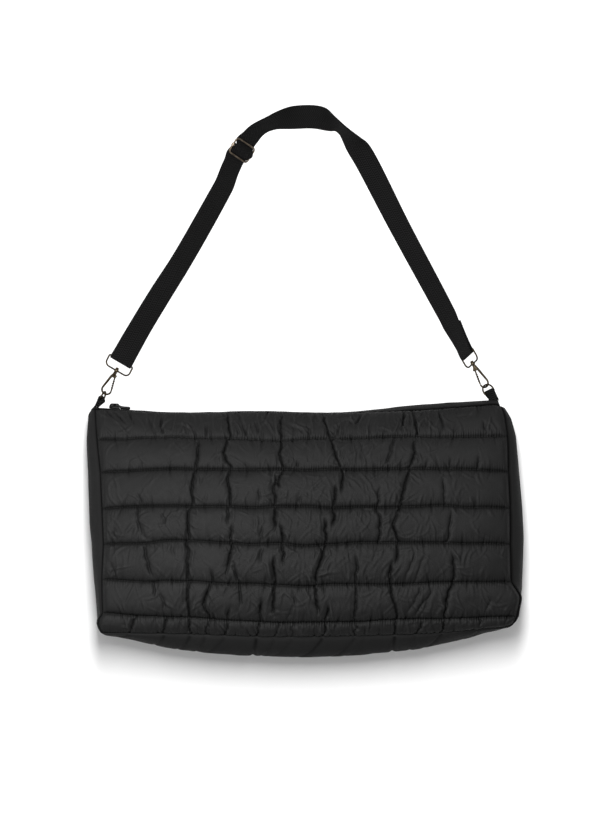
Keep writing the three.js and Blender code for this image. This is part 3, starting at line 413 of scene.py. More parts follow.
def soften_corners(points):
    """Points with the bag's corners rounded off in plan."""
    for x_way, y_way, out_x, out_y, radius in CORNERS:
        a = np.clip((x_way * points[..., 0] - (out_x - radius)) / radius, 0, 1)
        b = np.clip((y_way * points[..., 1] - (out_y - radius)) / radius, 0, 1)
        points[..., 0] += x_way * radius * a * (np.sqrt(1 - b * b / 2) - 1)
        points[..., 1] += y_way * radius * b * (np.sqrt(1 - a * a / 2) - 1)
    return points


base = quilt_base(SIDE_Z, CROWN_Z)
x, y = base[..., 0], base[..., 1]
channel = np.minimum(row_place.astype(int), LINES - 2)
step = (row_place - channel)[:, None]
row_height = np.abs(LINE_Y[1:].mean(1) - LINE_Y[:-1].mean(1))[channel][:, None]
from_above, from_below = step * row_height, (1 - step) * row_height
from_line = np.minimum(from_above, from_below) + np.zeros_like(x)
# A channel's section has a round crown, soft shoulders and a narrow groove along each stitch line
CROWN_SHARE, SHOULDER_SHARE, GROOVE_SHARE = 0.3, 0.34, 0.36
SHOULDER_REACH, GROOVE_REACH, LIFT_REACH = 3.6, 0.8, 1.4
crown = 1 - (2 * step - 1) ** 2
shoulder, groove = 1 - np.exp(-from_line / SHOULDER_REACH), 1 - np.exp(-from_line / GROOVE_REACH)
# How much of the full puff is left at each stitch line, and how much shade is painted along it
LINE_LIFT = np.array([0, 0, 0.02, 0.14, 0.2, 0.26, 0.05, 0])
LINE_SHADE = np.array([0.8, 0.8, 0.8, 0.6, 0.5, 0.4, 0.5, 0.8])
nearest_line = np.rint(row_place).astype(int)
line_lift, line_shade = LINE_LIFT[nearest_line][:, None], LINE_SHADE[nearest_line][:, None]
section = CROWN_SHARE * crown + SHOULDER_SHARE * shoulder + GROOVE_SHARE * groove
section = section + line_lift * np.exp(-from_line / LIFT_REACH)
from_side = np.minimum(x - x[:, :1], x[:, -1:] - x)
left_over = np.ones_like(x)
shoulders, sunk, dent, shift, lips = (np.zeros_like(x) for _ in range(5))
# A crease is steep on one side and gentle on the other, with a lip beside it and a swelling farther off
STEEP_REACH, GENTLE_REACH = 0.9, 2.6
LIP_AT, LIP_WIDTH, SWELL_AT, SWELL_WIDTH = 3.2, 1.3, 6.0, 3.0
DENT, DENT_REACH, CREASE_SHADE_REACH = 2.6, 6.0, 1.3
END_DEPTH, INNER_DEPTH, DEEPEST = 1.4, 1.1, 0.95
for row, creases in enumerate(CREASES):
    inside = channel == row
    t = step[inside]
    for index, (x_upper, x_middle, x_lower, start, end, depth) in enumerate(creases):
        depth = min(DEEPEST, depth * (END_DEPTH if row in (0, LINES - 2) else INNER_DEPTH))
        line = x_upper * (1 - t) * (1 - 2 * t) + x_middle * 4 * t * (1 - t) + x_lower * t * (2 * t - 1)
        key = np.full_like(t, row * 11.3 + index * 2.7)
        for wander, per_channel, seed in ((2.2, 3.3, 11), (1.3, 8.0, 12), (0.5, 18.0, 13)):
            line = line + wander * noise(t * per_channel, key, seed)
        here = depth * np.where(start > 0, ease(t, start - 0.12, start + 0.24), 1.0)
        here = here * np.where(end < 1, 1 - ease(t, end - 0.26, end + 0.12), 1.0)
        here = here * (0.9 + 0.3 * noise(t * 6.0, key, 14))
        away = x[inside] - line
        steep = 1 if (index + row) % 2 else -1
        reach = np.where(away * steep > 0, STEEP_REACH, GENTLE_REACH)
        left_over[inside] *= 1 - np.minimum(here, 0.85) * np.exp(-np.abs(away) / reach)
        lips[inside] += here * np.exp(-(((-away * steep - LIP_AT) / LIP_WIDTH) ** 2))
        shoulders[inside] += here * np.exp(-(((np.abs(away) - SWELL_AT) / SWELL_WIDTH) ** 2))
        # Painted shade down the core of each crease
        shade = np.minimum(1.25 * here, 1) * np.exp(-((away / CREASE_SHADE_REACH) ** 2))
        sunk[inside] = np.maximum(sunk[inside], shade)
        dent[inside] += DENT * here * np.exp(-np.abs(away) / DENT_REACH)
        shift[inside] -= 0.5 * here * away * np.exp(-((away / 4.0) ** 2))
crinkled = np.array([through(c, share) for c in CRINKLE])
crinkled = through(crinkled, (row_place - 0.5) / (LINES - 2))
puff = FULLNESS * PUFF[channel][:, None] * section * (1 - np.exp(-from_side / 2.2)) * left_over
puff *= 1 + 0.10 * noise(x / 46.0, y / 33.0, 3) + 0.12 * np.clip(shoulders, 0, 1.5)

# The stitch lines gather the cloth into short ticks, and the crushed parts have many short wrinkles
quilt_random = np.random.default_rng(17)
ticks = np.zeros_like(x)
# Kinds of tick: least and most space between two, least and most length, and depth
TICKS = [(3.0, 6.5, 1.5, 4.0, 0.7), (9.0, 36.0, 5.0, 12.0, 1.3)]


def gather(line):
    """Ticks along one stitch line, many short ones and a few long ones."""
    below = (row_place - line) * row_height[:, 0]
    near = np.abs(below) < 16
    for closest, farthest, shortest, longest, deepest in TICKS:
        spots = LEFT_X[line] + np.cumsum(quilt_random.uniform(closest, farthest, 110))
        for spot in spots[spots < RIGHT_X[line] - 5]:
            column = int(np.argmin(np.abs(share - (spot - LEFT_X[line]) / (RIGHT_X[line] - LEFT_X[line]))))
            above, under = quilt_random.uniform(shortest, longest, 2)
            length = np.where(below[near] < 0, above, under)[:, None]
            slant = quilt_random.normal(0, 0.25)
            depth = quilt_random.uniform(0.3, 1.0) * deepest * (0.5 + 0.6 * crinkled[near, column].mean())
            across = x[near] - spot - slant * below[near][:, None]
            ticks[near] += depth * np.exp(-((below[near][:, None] / length) ** 2) - across**2)


for line in range(1, LINES):
    gather(line)
wrinkles = np.zeros_like(x)
WRINKLES, WRINKLE_REACH = 2600, 16
# Least and most length, width and height of a wrinkle
WRINKLE_SPANS = [(4, 15), (1.4, 2.8), (0.22, 0.8)]
for _ in range(WRINKLES):
    r, c = quilt_random.integers(0, rows), quilt_random.integers(0, COLUMNS)
    chance, lean, bend = quilt_random.uniform(), quilt_random.normal(0, 0.65), quilt_random.normal(0, 0.02)
    length, width, height = (quilt_random.uniform(*span) for span in WRINKLE_SPANS)
    if chance > 0.7 * crinkled[r, c] + 0.5 * shoulders[r, c]:
        continue
    height *= (1 + min(shoulders[r, c], 1)) * (1.6 if channel[r] == 0 else 1.0)
    part = tuple(slice(max(i - WRINKLE_REACH, 0), i + WRINKLE_REACH) for i in (r, c))
    dx, dy = x[part] - x[r, c], y[part] - y[r, c]
    run = dy * math.cos(lean) + dx * math.sin(lean)
    off = (dx * math.cos(lean) - dy * math.sin(lean) + bend * run**2) / width
    wrinkles[part] += height * np.exp(-((run / length) ** 2)) * (1 - 2 * off**2) * np.exp(-(off**2))
gather(0)
ticks *= ease(from_side, 0, 8)
crush = 0.35 * noise(x / 12.0, y / 9.0, 9) * (0.3 + crinkled) + wrinkles * (1 - np.exp(-from_line / 3.0))
thickness = PINCH + puff - 2.0 * ticks + (crush + 1.1 * lips) * ease(from_side, 0, 12)
base_face = base.copy()
base_face[..., 0] += shift * ease(from_side, 0, 12)
base_face[..., 2] -= dent * ease(from_side, 0, 20)
normal = np.cross(np.gradient(base, axis=1), np.gradient(base, axis=0))
normal /= np.linalg.norm(normal, axis=-1, keepdims=True)
normal *= np.sign(normal[..., 2:3])
lean = ease(from_side, 0, 12)[..., None]
direction = normal * lean + np.array([0, 0, 1.0]) * (1 - lean)
front_points = soften_corners(base_face + direction * thickness[..., None])
# Painted shade: darker in the creases, along the stitch lines with their ticks, and at the seams at the sides
# and the zip
LEFT_SEAM_SHADE, RIGHT_SEAM_SHADE, ZIP_SEAM_SHADE = 0.5, 1.0, 0.85
seam_shade = LEFT_SEAM_SHADE + (RIGHT_SEAM_SHADE - LEFT_SEAM_SHADE) * share
for shade in (
    line_shade * np.exp(-from_line / 0.45),
    (0.5 + 0.5 * line_shade) * np.clip(ticks, 0, 1),
    seam_shade * np.exp(-((from_side / 1.8) ** 2)),
    ZIP_SEAM_SHADE * np.exp(-row_place[:, None] * row_height / 1.5),
):
    sunk = np.maximum(sunk, shade)
# Painted highlight on the lips beside the creases and on the tops of the wrinkles
raised = np.clip(1.2 * lips + 0.6 * np.maximum(wrinkles, 0), 0, 1) * (1 - np.exp(-from_line / 2.0))


def add_values(made, name, values):
    """A value for each point of a mesh, for its material to read."""
    layer = made.data.attributes.new(name=name, type="FLOAT", domain="POINT")
    layer.data.foreach_set("value", np.asarray(values, np.float32).ravel())


def fit_out(made, look, node=None, body="bag"):
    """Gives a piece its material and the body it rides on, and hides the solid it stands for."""
    made.data.materials.append(look)
    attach(made, body)
    if node:
        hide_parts(node)


def rim_skirt(points, drop):
    """The grid with one more ring of points below its edge."""
    grown = np.pad(points, ((1, 1), (1, 1), (0, 0)), mode="edge")
    edge = np.ones(grown.shape[:2], bool)
    edge[1:-1, 1:-1] = False
    grown[edge] += np.array([0, 0, drop])
    return grown


front_shell = rim_skirt(front_points, -PINCH)
front_panel = add_object("front_panel_cloth", front_shell, grid_faces(*front_shell.shape[:2]))
for name, values in (("sunk", sunk), ("raised", raised), ("from_line", from_line)):
    add_values(front_panel, name, np.pad(values, 1, mode="edge"))
quilt_cloth = nylon("quilted_nylon", 0.0056, 0.0074, 0.3, 0.1, True)
fit_out(front_panel, quilt_cloth, "front_panel")

# Quilting stitches: black thread in short straight stitches along the six lines, sewn through the panel so
# that its padding is pinched down to a seam there.
STITCH_LENGTH = 2.7
STITCH_PITCH = 3.6
STITCH_RADIUS = 0.24


def tube_rows(path, radii, across, face, sides):
    """Rings of points round a path, from each point's two directions across it."""
    turn = 2 * np.pi * np.arange(sides) / sides
    ring = across[:, None] * np.cos(turn)[None, :, None] + face[:, None] * np.sin(turn)[None, :, None]
    return path[:, None] + ring * radii[:, None, None]


def run_along(points):
    """How far along a row of points each one lies."""
    return np.r_[0, np.cumsum(np.linalg.norm(np.diff(points, axis=0), axis=1))]


def read_along(at, lengths, table):
    """Rows of a table read at lengths between its own."""
    return np.stack([np.interp(at, lengths, column) for column in table.T], -1)


def stitches_along(line, pitch, length, radius, lift):
    """Small rounded threads laid end to end along a line of points."""
    lengths = run_along(line)
    sides, rings = 5, 5
    points, faces = [], []
    shares = np.linspace(0, 1, rings)
    radii = radius * np.sqrt(np.clip(1 - (2 * shares - 1) ** 2 * 0.97, 0, 1))
    for start in np.arange(2.0, lengths[-1] - length - 2.0, pitch):
        path = read_along(start + shares * length, lengths, line)
        path[:, 2] += lift * (1 - (2 * shares - 1) ** 2)
        along = path[-1] - path[0]
        across = np.cross(along, [0, 0, 1.0])
        across /= np.linalg.norm(across)
        face = np.cross(across, along / np.linalg.norm(along))
        ring = tube_rows(path, radii, np.tile(across, (rings, 1)), np.tile(face, (rings, 1)), sides)
        first = len(points) * rings * sides
        faces += [[i + first for i in f] for f in grid_faces(rings, sides, joined_columns=True)]
        last = first + (rings - 1) * sides
        faces += [[first + i for i in range(sides)], [last + i for i in reversed(range(sides))]]
        points.append(ring.reshape(-1, 3))
    return np.concatenate(points), faces


def join_parts(parts):
    """One list of points and faces from several."""
    points, faces, first = [], [], 0
    for part_points, part_faces in parts:
        points.append(np.asarray(part_points, float).reshape(-1, 3))
        faces += [[i + first for i in f] for f in part_faces]
        first += len(points[-1])
    return np.concatenate(points), faces


thread, thread_shader, thread_nodes = new_material("thread", Roughness=0.7, Specular_IOR_Level=0.12)
twist = thread_nodes.noise(thread_nodes.places(), 900.0, 2.0)
twist_colour = twist.mix(grey(0.0015), grey(0.0045))
thread_nodes.dress(thread_shader, Base_Color=twist_colour, Normal=thread_nodes.bump(twist, 0.2 * MM))
stitched_rows = [int(np.argmin(np.abs(row_place - line))) for line in range(1, LINES - 1)]
sewn = [
    stitches_along(front_points[row], STITCH_PITCH, STITCH_LENGTH, STITCH_RADIUS, 0.1)
    for row in stitched_rows
]
quilt_stitches = add_object("quilt_stitches", *join_parts(sewn))
fit_out(quilt_stitches, thread)

# Back panel: the same quilted nylon over wadding, sewn along the same lines. The bag lies on it, so its
# channels are flattened against the floor.
BACK_FLOOR = 11.0
BACK_PUFF = 13.0
level = np.full(LINES, BACK_FLOOR)
back_base = quilt_base(level, level)
back_side = np.minimum(back_base[..., 0] - back_base[:, :1, 0], back_base[:, -1:, 0] - back_base[..., 0])
back_wave = 1 + 0.25 * noise(back_base[..., 0] / 38.0, back_base[..., 1] / 21.0, 21)
back_puff = BACK_PUFF * section * (1 - np.exp(-back_side / 9.0)) * back_wave
back_base[..., 2] = np.maximum(0.05, back_base[..., 2] - PINCH - back_puff)
keep_rows = sorted(set(range(0, rows, 2)) | {0, rows - 1} | set(stitched_rows))
keep_columns = sorted(set(range(0, COLUMNS, 3)) | {COLUMNS - 1})
kept = np.ix_(keep_rows, keep_columns)
back_points = soften_corners(back_base[kept])
back_shell = rim_skirt(back_points, PINCH)
back_panel = add_object("back_panel_cloth", back_shell, [f[::-1] for f in grid_faces(*back_shell.shape[:2])])
# Painted shade along the stitch lines
add_values(back_panel, "sunk", np.pad(np.exp(-from_line[kept] / 0.9), 1, mode="edge"))
add_values(back_panel, "from_line", np.pad(from_line[kept], 1, mode="edge"))
fit_out(back_panel, quilt_cloth, "back_panel")

# Gusset: one plain strip of the same nylon round the sides and the base, sewn to both panels and
# bowed out by what is in the bag.
GUSSET_WALL = 2.2
BACK_EDGE = BACK_FLOOR - PINCH
LEFT_OUT = np.array([8.5, 13, 15.5, 16, 16, 11, 7.5, 2.8])
RIGHT_OUT = np.array([6, 11, 14, 15.5, 17, 14, 3, 2.8])
BASE_OUT = np.array([2.8, 22, 27, 27, 18, 2.8])
SIDE_POINTS = 130
BASE_POINTS = 260


def bow(across):
    """How far a wall bows out between its two seams, from 0 to 1."""
    return np.sin(np.pi * np.clip(across, 0, 1) ** 0.9) ** 0.8


def side_stops(seam_x, end, out, sign):
    """Stops down a side seam: x, y, reach, front height and the way out."""
    at = np.linspace(0, LINES - 1, SIDE_POINTS + 1)[:-1]
    lines = np.arange(LINES)
    stop = np.zeros((SIDE_POINTS, 6))
    swell = lower_bulge(at, sign)
    stop[:, 0] = np.interp(at, lines, seam_x) + sign * swell
    stop[:, 1] = np.interp(at, lines, LINE_Y[:, end])
    stop[:, 2] = through(out, at / (LINES - 1)) - swell
    stop[:, 3] = np.interp(at, lines, SIDE_Z) + PINCH
    stop[:, 4] = sign
    return stop


def cross_stops(line, at, out, sign):
    """Stops along the zip seam or the base seam."""
    stop = np.zeros((len(at), 6))
    stop[:, 0] = LEFT_X[line] + (RIGHT_X[line] - LEFT_X[line]) * at
    stop[:, 1] = through(LINE_Y[line], at)
    stop[:, 2] = through(out, at)
    crown = 1 - np.abs(2 * at - 1) ** 3
    stop[:, 3] = SIDE_Z[line] + (CROWN_Z[line] - SIDE_Z[line]) * crown + PINCH
    stop[:, 5] = sign
    return stop


def rim_points(stops, across, level):
    """Points of a wall from the front seam to the back seam; level is the distance out of its inner face."""
    reach = level + np.maximum(stops[:, 2] - GUSSET_WALL - GAP, 0)[:, None] * bow(across)[None, :]
    z = stops[:, 3][:, None] * (1 - across)[None, :] + BACK_EDGE * across[None, :]
    return np.stack([
        stops[:, 0][:, None] + stops[:, 4][:, None] * reach,
        stops[:, 1][:, None] + stops[:, 5][:, None] * reach,
        z,
    ], -1)


base_stops = cross_stops(LINES - 1, np.linspace(0, 1, BASE_POINTS + 1), BASE_OUT, -1)
base_turn = np.clip(1 - np.minimum(base_stops[:, 0] - LEFT_X[-1], RIGHT_X[-1] - base_stops[:, 0]) / 6.0, 0, 1)
base_stops[:, 4] = np.sign(base_stops[:, 0]) * base_turn * math.sqrt(0.5)
base_stops[:, 5] = -np.sqrt(1 - base_stops[:, 4] ** 2)
gusset_stops = np.vstack([
    side_stops(LEFT_X, 0, LEFT_OUT, -1),
    base_stops,
    side_stops(RIGHT_X, -1, RIGHT_OUT, 1)[::-1],
])
gusset_across = gathered_steps(40)
gusset_points = rim_points(gusset_stops, gusset_across, GAP + GUSSET_WALL)
gusset_run = run_along(gusset_stops[:, :2])[:, None]
gusset_down = gusset_across[None, :] * (gusset_stops[:, 3] - BACK_EDGE)[:, None]
soft = np.sin(np.pi * gusset_across)[None, :] ** 0.5
streaks = noise(gusset_run / 70.0, gusset_down / 6.0, 31)
side_wall = np.abs(gusset_stops[:, 4:5])
folds = np.zeros_like(gusset_down)
fold_random = np.random.default_rng(41)
for _, _, x_lower, _, _, depth in CREASES[-1]:
    slant = fold_random.normal(-0.45, 0.3)
    across = gusset_stops[:, :1] - x_lower - slant * gusset_down
    folds += depth * np.exp(-((across / 2.4) ** 2)) * np.exp(-gusset_down / 45.0)
wrinkle = 0.8 * noise(gusset_run / 34.0, gusset_down / 26.0, 33) + 0.55 * streaks * side_wall
wrinkle = wrinkle + (0.7 * noise(gusset_run / 17.0, gusset_down / 40.0, 34) - 5.0 * folds) * (1 - side_wall)
out_way = np.concatenate([gusset_stops[:, 4:6], np.zeros((len(gusset_stops), 1))], 1)
gusset_points += (wrinkle * soft)[..., None] * out_way[:, None, :]


def tucked(column, inwards, rise):
    """A column of the gusset moved in under a panel, and up or down."""
    return (gusset_points[:, column] - out_way * inwards + np.array([0, 0, rise]))[:, None]


# Seam allowances turned in under the front panel and the back panel
front_allowance = [
    tucked(0, GUSSET_WALL + 1.8, -PINCH - 0.9),
    tucked(0, GUSSET_WALL - 0.2, -PINCH - 0.5),
    tucked(0, GUSSET_WALL * 0.75, -0.5),
    tucked(0, 0.4, -0.5),
]
back_allowance = [tucked(-1, GUSSET_WALL - 0.2, 0.6), tucked(-1, GUSSET_WALL + 1.8, PINCH + 0.8)]
gusset_sheet = np.concatenate([*front_allowance, gusset_points[:, 1:], *back_allowance], 1)
gusset_sheet = soften_corners(gusset_sheet)
gusset = add_object("gusset_cloth", gusset_sheet, grid_faces(*gusset_sheet.shape[:2]))
plain_cloth = nylon("plain_nylon", 0.0095, 0.0125, 0.25, 0.02, False)
# Painted shade down the folds in the base and along the side seams
fold_shade = np.clip(1.3 * folds**2 * (1 - side_wall), 0, 0.75)
fold_shade[:, :1] = np.where(gusset_stops[:, 4:5] < 0, 0.3, 0.6) * side_wall
add_values(gusset, "sunk", np.pad(fold_shade, ((0, 0), (3, 2)), mode="edge"))
fit_out(gusset, plain_cloth, "gusset")

# Zip strips: two narrow strips of the plain nylon, one on each side of the zip. Their long edges are turned
# under and topstitched.
STRIP_WALL = 1.6
ZIP_OUT = np.array([3.5, 3, 3, 3, 9.5, 7.5])
ZIP_FROM, ZIP_TO = -0.004, 0.998
STRIP_EDGE = 0.4
zip_stops = cross_stops(0, np.linspace(ZIP_FROM, ZIP_TO, 240), ZIP_OUT, 1)
zip_run = run_along(zip_stops[:, :2])
zip_length = float(zip_run[-1])


def folded_strip(name, across):
    """A strip whose long edges are turned under."""
    faces_out = rim_points(zip_stops, across, GAP + STRIP_WALL)
    seed = 51 + int(across[0] * 7)
    ripple = 0.35 * noise(zip_run[:, None] / 16.0 + 0 * across, across[None, :] * 9.0, seed)
    inside = np.minimum(np.arange(len(across)), np.arange(len(across))[::-1]) > 0
    faces_out[..., 1] += ripple * inside
    first = rim_points(zip_stops, across[:1], -1.5) - np.array([0, 0, 1.2])
    last = rim_points(zip_stops, across[-1:], -1.5)
    rolled = rim_points(zip_stops, across[[0, -1]], GAP + STRIP_WALL * 0.55)
    faces_out[:, 0, 1] -= 0.35
    faces_out[:, -1, 1] -= 0.35
    sheet = soften_corners(np.concatenate([first, rolled[:, :1], faces_out, rolled[:, 1:], last], 1))
    made = add_object(name, sheet, grid_faces(*sheet.shape[:2]))
    # Painted shade along both turned edges of the strip
    seam_shade = np.zeros(sheet.shape[:2])
    seam_shade[:, [0, 1, 2, -3, -2, -1]] = 0.95
    seam_shade[:, [3, -4]] = 0.3 + 0.3 * noise(zip_run / 5.0, zip_run * 0, 52)[:, None]
    add_values(made, "sunk", seam_shade)
    return made, faces_out


strip_across = np.linspace(0.01, STRIP_EDGE, 12)
for node, across in (("zip_strip_front", strip_across), ("zip_strip_back", 1 - strip_across[::-1])):
    strip, strip_face = folded_strip(node + "_cloth", across)
    fit_out(strip, plain_cloth, node)
    topstitch_row = -3 if node == "zip_strip_front" else 2
    seam = add_object(node + "_stitches", *stitches_along(strip_face[:, topstitch_row], 3.2, 2.4, 0.25, 0.1))
    fit_out(seam, thread)

# Zip: a woven tape behind the strips and a closed nylon coil between them, whose turns hook into each other
# from both sides.
TAPE_EDGE = 0.33
TWILL_PITCH, COIL_PITCH = 0.9, 1.3
TOOTH_REACH, TOOTH_RADIUS = 2.35, 0.42
tape_across = np.linspace(TAPE_EDGE, 1 - TAPE_EDGE, 9)
tape_points = rim_points(zip_stops, tape_across, 0.0)
zip_tape = add_object("zip_tape_cloth", soften_corners(tape_points), grid_faces(*tape_points.shape[:2]))
tape_cloth, tape_shader, tape_nodes = new_material("zip_tape", Specular_IOR_Level=0.25)
tape_along, _, tape_up = tape_nodes.places().split()
twill = ((tape_along + tape_up) * (2 * math.pi / (TWILL_PITCH * MM))).sine()
tape_colour = (0.5 + twill * 0.5).mix(grey(0.009), grey(0.017))
tape_bump = tape_nodes.bump(twill, 0.15 * MM)
tape_nodes.dress(tape_shader, Base_Color=tape_colour, Roughness=0.75 + twill * 0.08, Normal=tape_bump)
fit_out(zip_tape, tape_cloth, "zip_tape")

tooth_parts = []
tooth_sides, tooth_rings = 6, 7
tooth_turn = np.linspace(0, np.pi, tooth_rings)
for index, run in enumerate(np.arange(3.0, zip_length - 3.0, COIL_PITCH)):
    place = ZIP_FROM + (ZIP_TO - ZIP_FROM) * run / zip_length
    stop = cross_stops(0, np.array([place]), ZIP_OUT, 1)
    side = 1 if index % 2 else -1
    middle = rim_points(stop, np.array([0.5]), GAP)[0, 0]
    path = middle + np.stack([
        0 * tooth_turn,
        0.2 + 0.95 * np.sin(tooth_turn),
        side * (TOOTH_REACH * (0.45 - 0.62 * np.cos(tooth_turn))),
    ], -1)
    across = np.tile([1.0, 0, 0], (tooth_rings, 1))
    tangent = np.gradient(path, axis=0)
    tangent /= np.linalg.norm(tangent, axis=1, keepdims=True)
    radii = np.full(tooth_rings, TOOTH_RADIUS)
    rings = tube_rows(path, radii, across, np.cross(tangent, across), tooth_sides)
    tooth_parts.append((rings, grid_faces(tooth_rings, tooth_sides, joined_columns=True)))
zip_coil = add_object("zip_coil_teeth", *join_parts(tooth_parts))
coil_look, coil_shader, coil_nodes = new_material("zip_coil", Specular_IOR_Level=0.5)
coil_spread = coil_nodes.noise(coil_nodes.places(), 300.0)
coil_colour = coil_spread.mix(grey(0.008), grey(0.02))
coil_nodes.dress(coil_shader, Base_Color=coil_colour, Roughness=0.32 + coil_spread * 0.2)
fit_out(zip_coil, coil_look, "zip_coil")

# Zip slider and pull: black-coated metal near the left end of the zip. The flat pull turns on a pin in the
# slider's eye and lies along the zip.
SLIDER_X = -242.0
SLIDER_LENGTH, SLIDER_WIDTH, SLIDER_PLATE = 12.6, 8.4, 2.2
EYE_OUTER, EYE_INNER, EYE_AT = 2.7, 1.5, 3.6
PULL_LENGTH, PULL_WIDTH, PULL_THICK = 17.0, 6.0, 2.5
COIL_WALL = 1.8
slider_share = (SLIDER_X - LEFT_X[0]) / (RIGHT_X[0] - LEFT_X[0])
ahead_share = slider_share + SLIDER_LENGTH / (RIGHT_X[0] - LEFT_X[0])
zip_level = GAP + COIL_WALL + GAP
slider_at, ahead_at = (
    rim_points(cross_stops(0, np.array([s]), ZIP_OUT, 1), np.array([0.5]), zip_level)[0, 0]
    for s in (slider_share, ahead_share)
)
slider_turn = math.atan2(ahead_at[1] - slider_at[1], ahead_at[0] - slider_at[0])
slider_axes = np.array([
    [math.cos(slider_turn), math.sin(slider_turn), 0],
    [-math.sin(slider_turn), math.cos(slider_turn), 0],
    [0, 0, 1],
])


def rounded_slab(outline, hole, low, high, bevel):
    """A plate between two heights with its edges rounded; outline and hole hold equal numbers of points."""
    outline, hole = np.asarray(outline, float), np.asarray(hole, float)
    centre = outline.mean(0)
    outwards = (outline - centre) / np.linalg.norm(outline - centre, axis=1, keepdims=True)
    rings = []
    for height, inset in ((low, bevel), (low + bevel, 0), (high - bevel, 0), (high, bevel)):
        rings.append(np.column_stack([outline - inset * outwards, np.full(len(outline), height)]))
    for height in (high, low):
        rings.append(np.column_stack([hole, np.full(len(hole), height)]))
    return np.array(rings), grid_faces(len(rings), len(outline), joined_rows=True, joined_columns=True)


def solid_slab(outline, low, high, bevel):
    """A rounded plate without a hole."""
    middle = outline.mean(0)
    return rounded_slab(outline, middle + (outline - middle) * 0.02, low, high, bevel)


def ring_outline(radius, count, centre):
    """Points evenly round a circle."""
    turn = 2 * np.pi * np.arange(count) / count
    return np.stack([centre[0] + radius * np.cos(turn), centre[1] + radius * np.sin(turn)], -1)


def mirrored(half):
    """A profile of radius and place, and the same again on the other side of the middle."""
    return np.vstack([half, np.array(half)[::-1] * (1, -1)])


def even_outline(corners, count):
    """Points evenly along a closed outline."""
    corners = np.asarray(corners, float)
    closed = np.vstack([corners, corners[:1]])
    lengths = run_along(closed)
    return read_along(np.linspace(0, lengths[-1], count, endpoint=False), lengths, closed)


black_metal, coat_shader, coat_nodes = new_material("black_metal", Metallic=0.25, Specular_IOR_Level=0.15)
coat_places = coat_nodes.places()
edge_wear = coat_nodes.make("ShaderNodeNewGeometry", output=7)
coat_spread = coat_nodes.noise(coat_places, 420.0, 3.0)
worn = (edge_wear - 0.52) * 6.0 + (coat_spread - 0.5) * 0.8
coat_colour, coat_bump = worn.mix(grey(0.003), grey(0.02)), coat_nodes.bump(coat_spread, 0.05 * MM)
coat_nodes.dress(coat_shader, Base_Color=coat_colour, Roughness=0.42 + coat_spread * 0.2, Normal=coat_bump)

half_length, half_width = SLIDER_LENGTH / 2, SLIDER_WIDTH / 2
slider_outline = even_outline([
    (-half_length, -1.6), (-2.1, -half_width), (half_length - 1, -half_width), (half_length, -half_width + 1),
    (half_length, half_width - 1), (half_length - 1, half_width), (-2.1, half_width), (-half_length, 1.6),
], 48)
plate_rings, plate_faces = rounded_slab(slider_outline, slider_outline * 0.02, 0, SLIDER_PLATE, 0.5)
plate_points = plate_rings[..., [0, 2, 1]]
eye_out = SLIDER_PLATE + EYE_OUTER - GAP
bridge_outline = even_outline([
    (6.3, eye_out), (5.8, 5.9), (4.6, 6.5), (-3.4, 6.2), (-5.0, 5.3), (-6.0, 3.0), (-6.2, 1.6), (6.2, 1.6),
], 48)
bridge = rounded_slab(bridge_outline, ring_outline(EYE_INNER, 48, (EYE_AT, eye_out)), -1.3, 1.3, 0.5)
throat_corners = [(-5.5, -3.6), (8.2, -3.6), (8.2, -0.4), (7.2, 0.6), (6.2, 1.7), (-5.5, 1.7)]
throat = solid_slab(even_outline(throat_corners, 40), -2.6, 2.6, 0.5)
slider_points, slider_faces = join_parts([(plate_points, plate_faces), bridge, throat])
zip_slider = add_object("zip_slider_body", slider_points @ slider_axes + slider_at, slider_faces)
fit_out(zip_slider, black_metal, "zip_slider")

pull_tip = PULL_LENGTH - PULL_WIDTH / 2
tip_turn = np.linspace(-np.pi / 2, np.pi / 2, 13)
pull_corners = np.vstack([
    [(-0.8, 2.2), (-0.8, -2.2), (-0.2, -2.5)],
    np.stack([pull_tip + 3 * np.cos(tip_turn), 3 * np.sin(tip_turn)], -1),
    [(-0.2, 2.5)],
])
pull_outline = even_outline(pull_corners, 64)
slot_outline = even_outline([(0.8, 1.5), (0.8, -1.5), (4.4, -1.5), (4.4, 1.5)], 64)
pull_rings, pull_faces = rounded_slab(pull_outline, slot_outline, -PULL_THICK / 2, PULL_THICK / 2, 0.3)
pull_points = pull_rings[..., [0, 2, 1]].reshape(-1, 3)
settle = ease(pull_points[:, 0], 0.5, 5.5)
PULL_TWIST, PULL_SETTLE = 16.0, 3.1
pull_turn = np.radians(PULL_TWIST) * settle
pull_points[:, 1:] = np.stack([
    pull_points[:, 1] * np.cos(pull_turn) + pull_points[:, 2] * np.sin(pull_turn) - PULL_SETTLE * settle,
    pull_points[:, 2] * np.cos(pull_turn) - pull_points[:, 1] * np.sin(pull_turn),
], -1)
pull_points += np.array([EYE_AT, eye_out, 0])
# The hinge pin with its two cheeks, from pairs of radius and height for one half
pin_profile = mirrored([(0.01, 2.4), (1.7, 2.4), (1.9, 2.1), (1.9, 1.5), (1.3, 1.45)])
PIN_SIDES = 24
pin_turn = 2 * np.pi * np.arange(PIN_SIDES) / PIN_SIDES
pin_radius, pin_height = pin_profile[:, :1], np.tile(pin_profile[:, 1:], (1, PIN_SIDES))
pin_rings = np.stack([pin_radius * np.cos(pin_turn), pin_radius * np.sin(pin_turn), pin_height], -1)
pin_rings += np.array([EYE_AT, eye_out, 0])
pin_faces = grid_faces(len(pin_profile), PIN_SIDES, joined_columns=True)
pull_points, pull_faces = join_parts([(pull_points, pull_faces), (pin_rings, pin_faces)])
zip_pull = add_object("zip_pull_tag", pull_points @ slider_axes + slider_at, pull_faces)
fit_out(zip_pull, black_metal, "zip_pull", "pull")

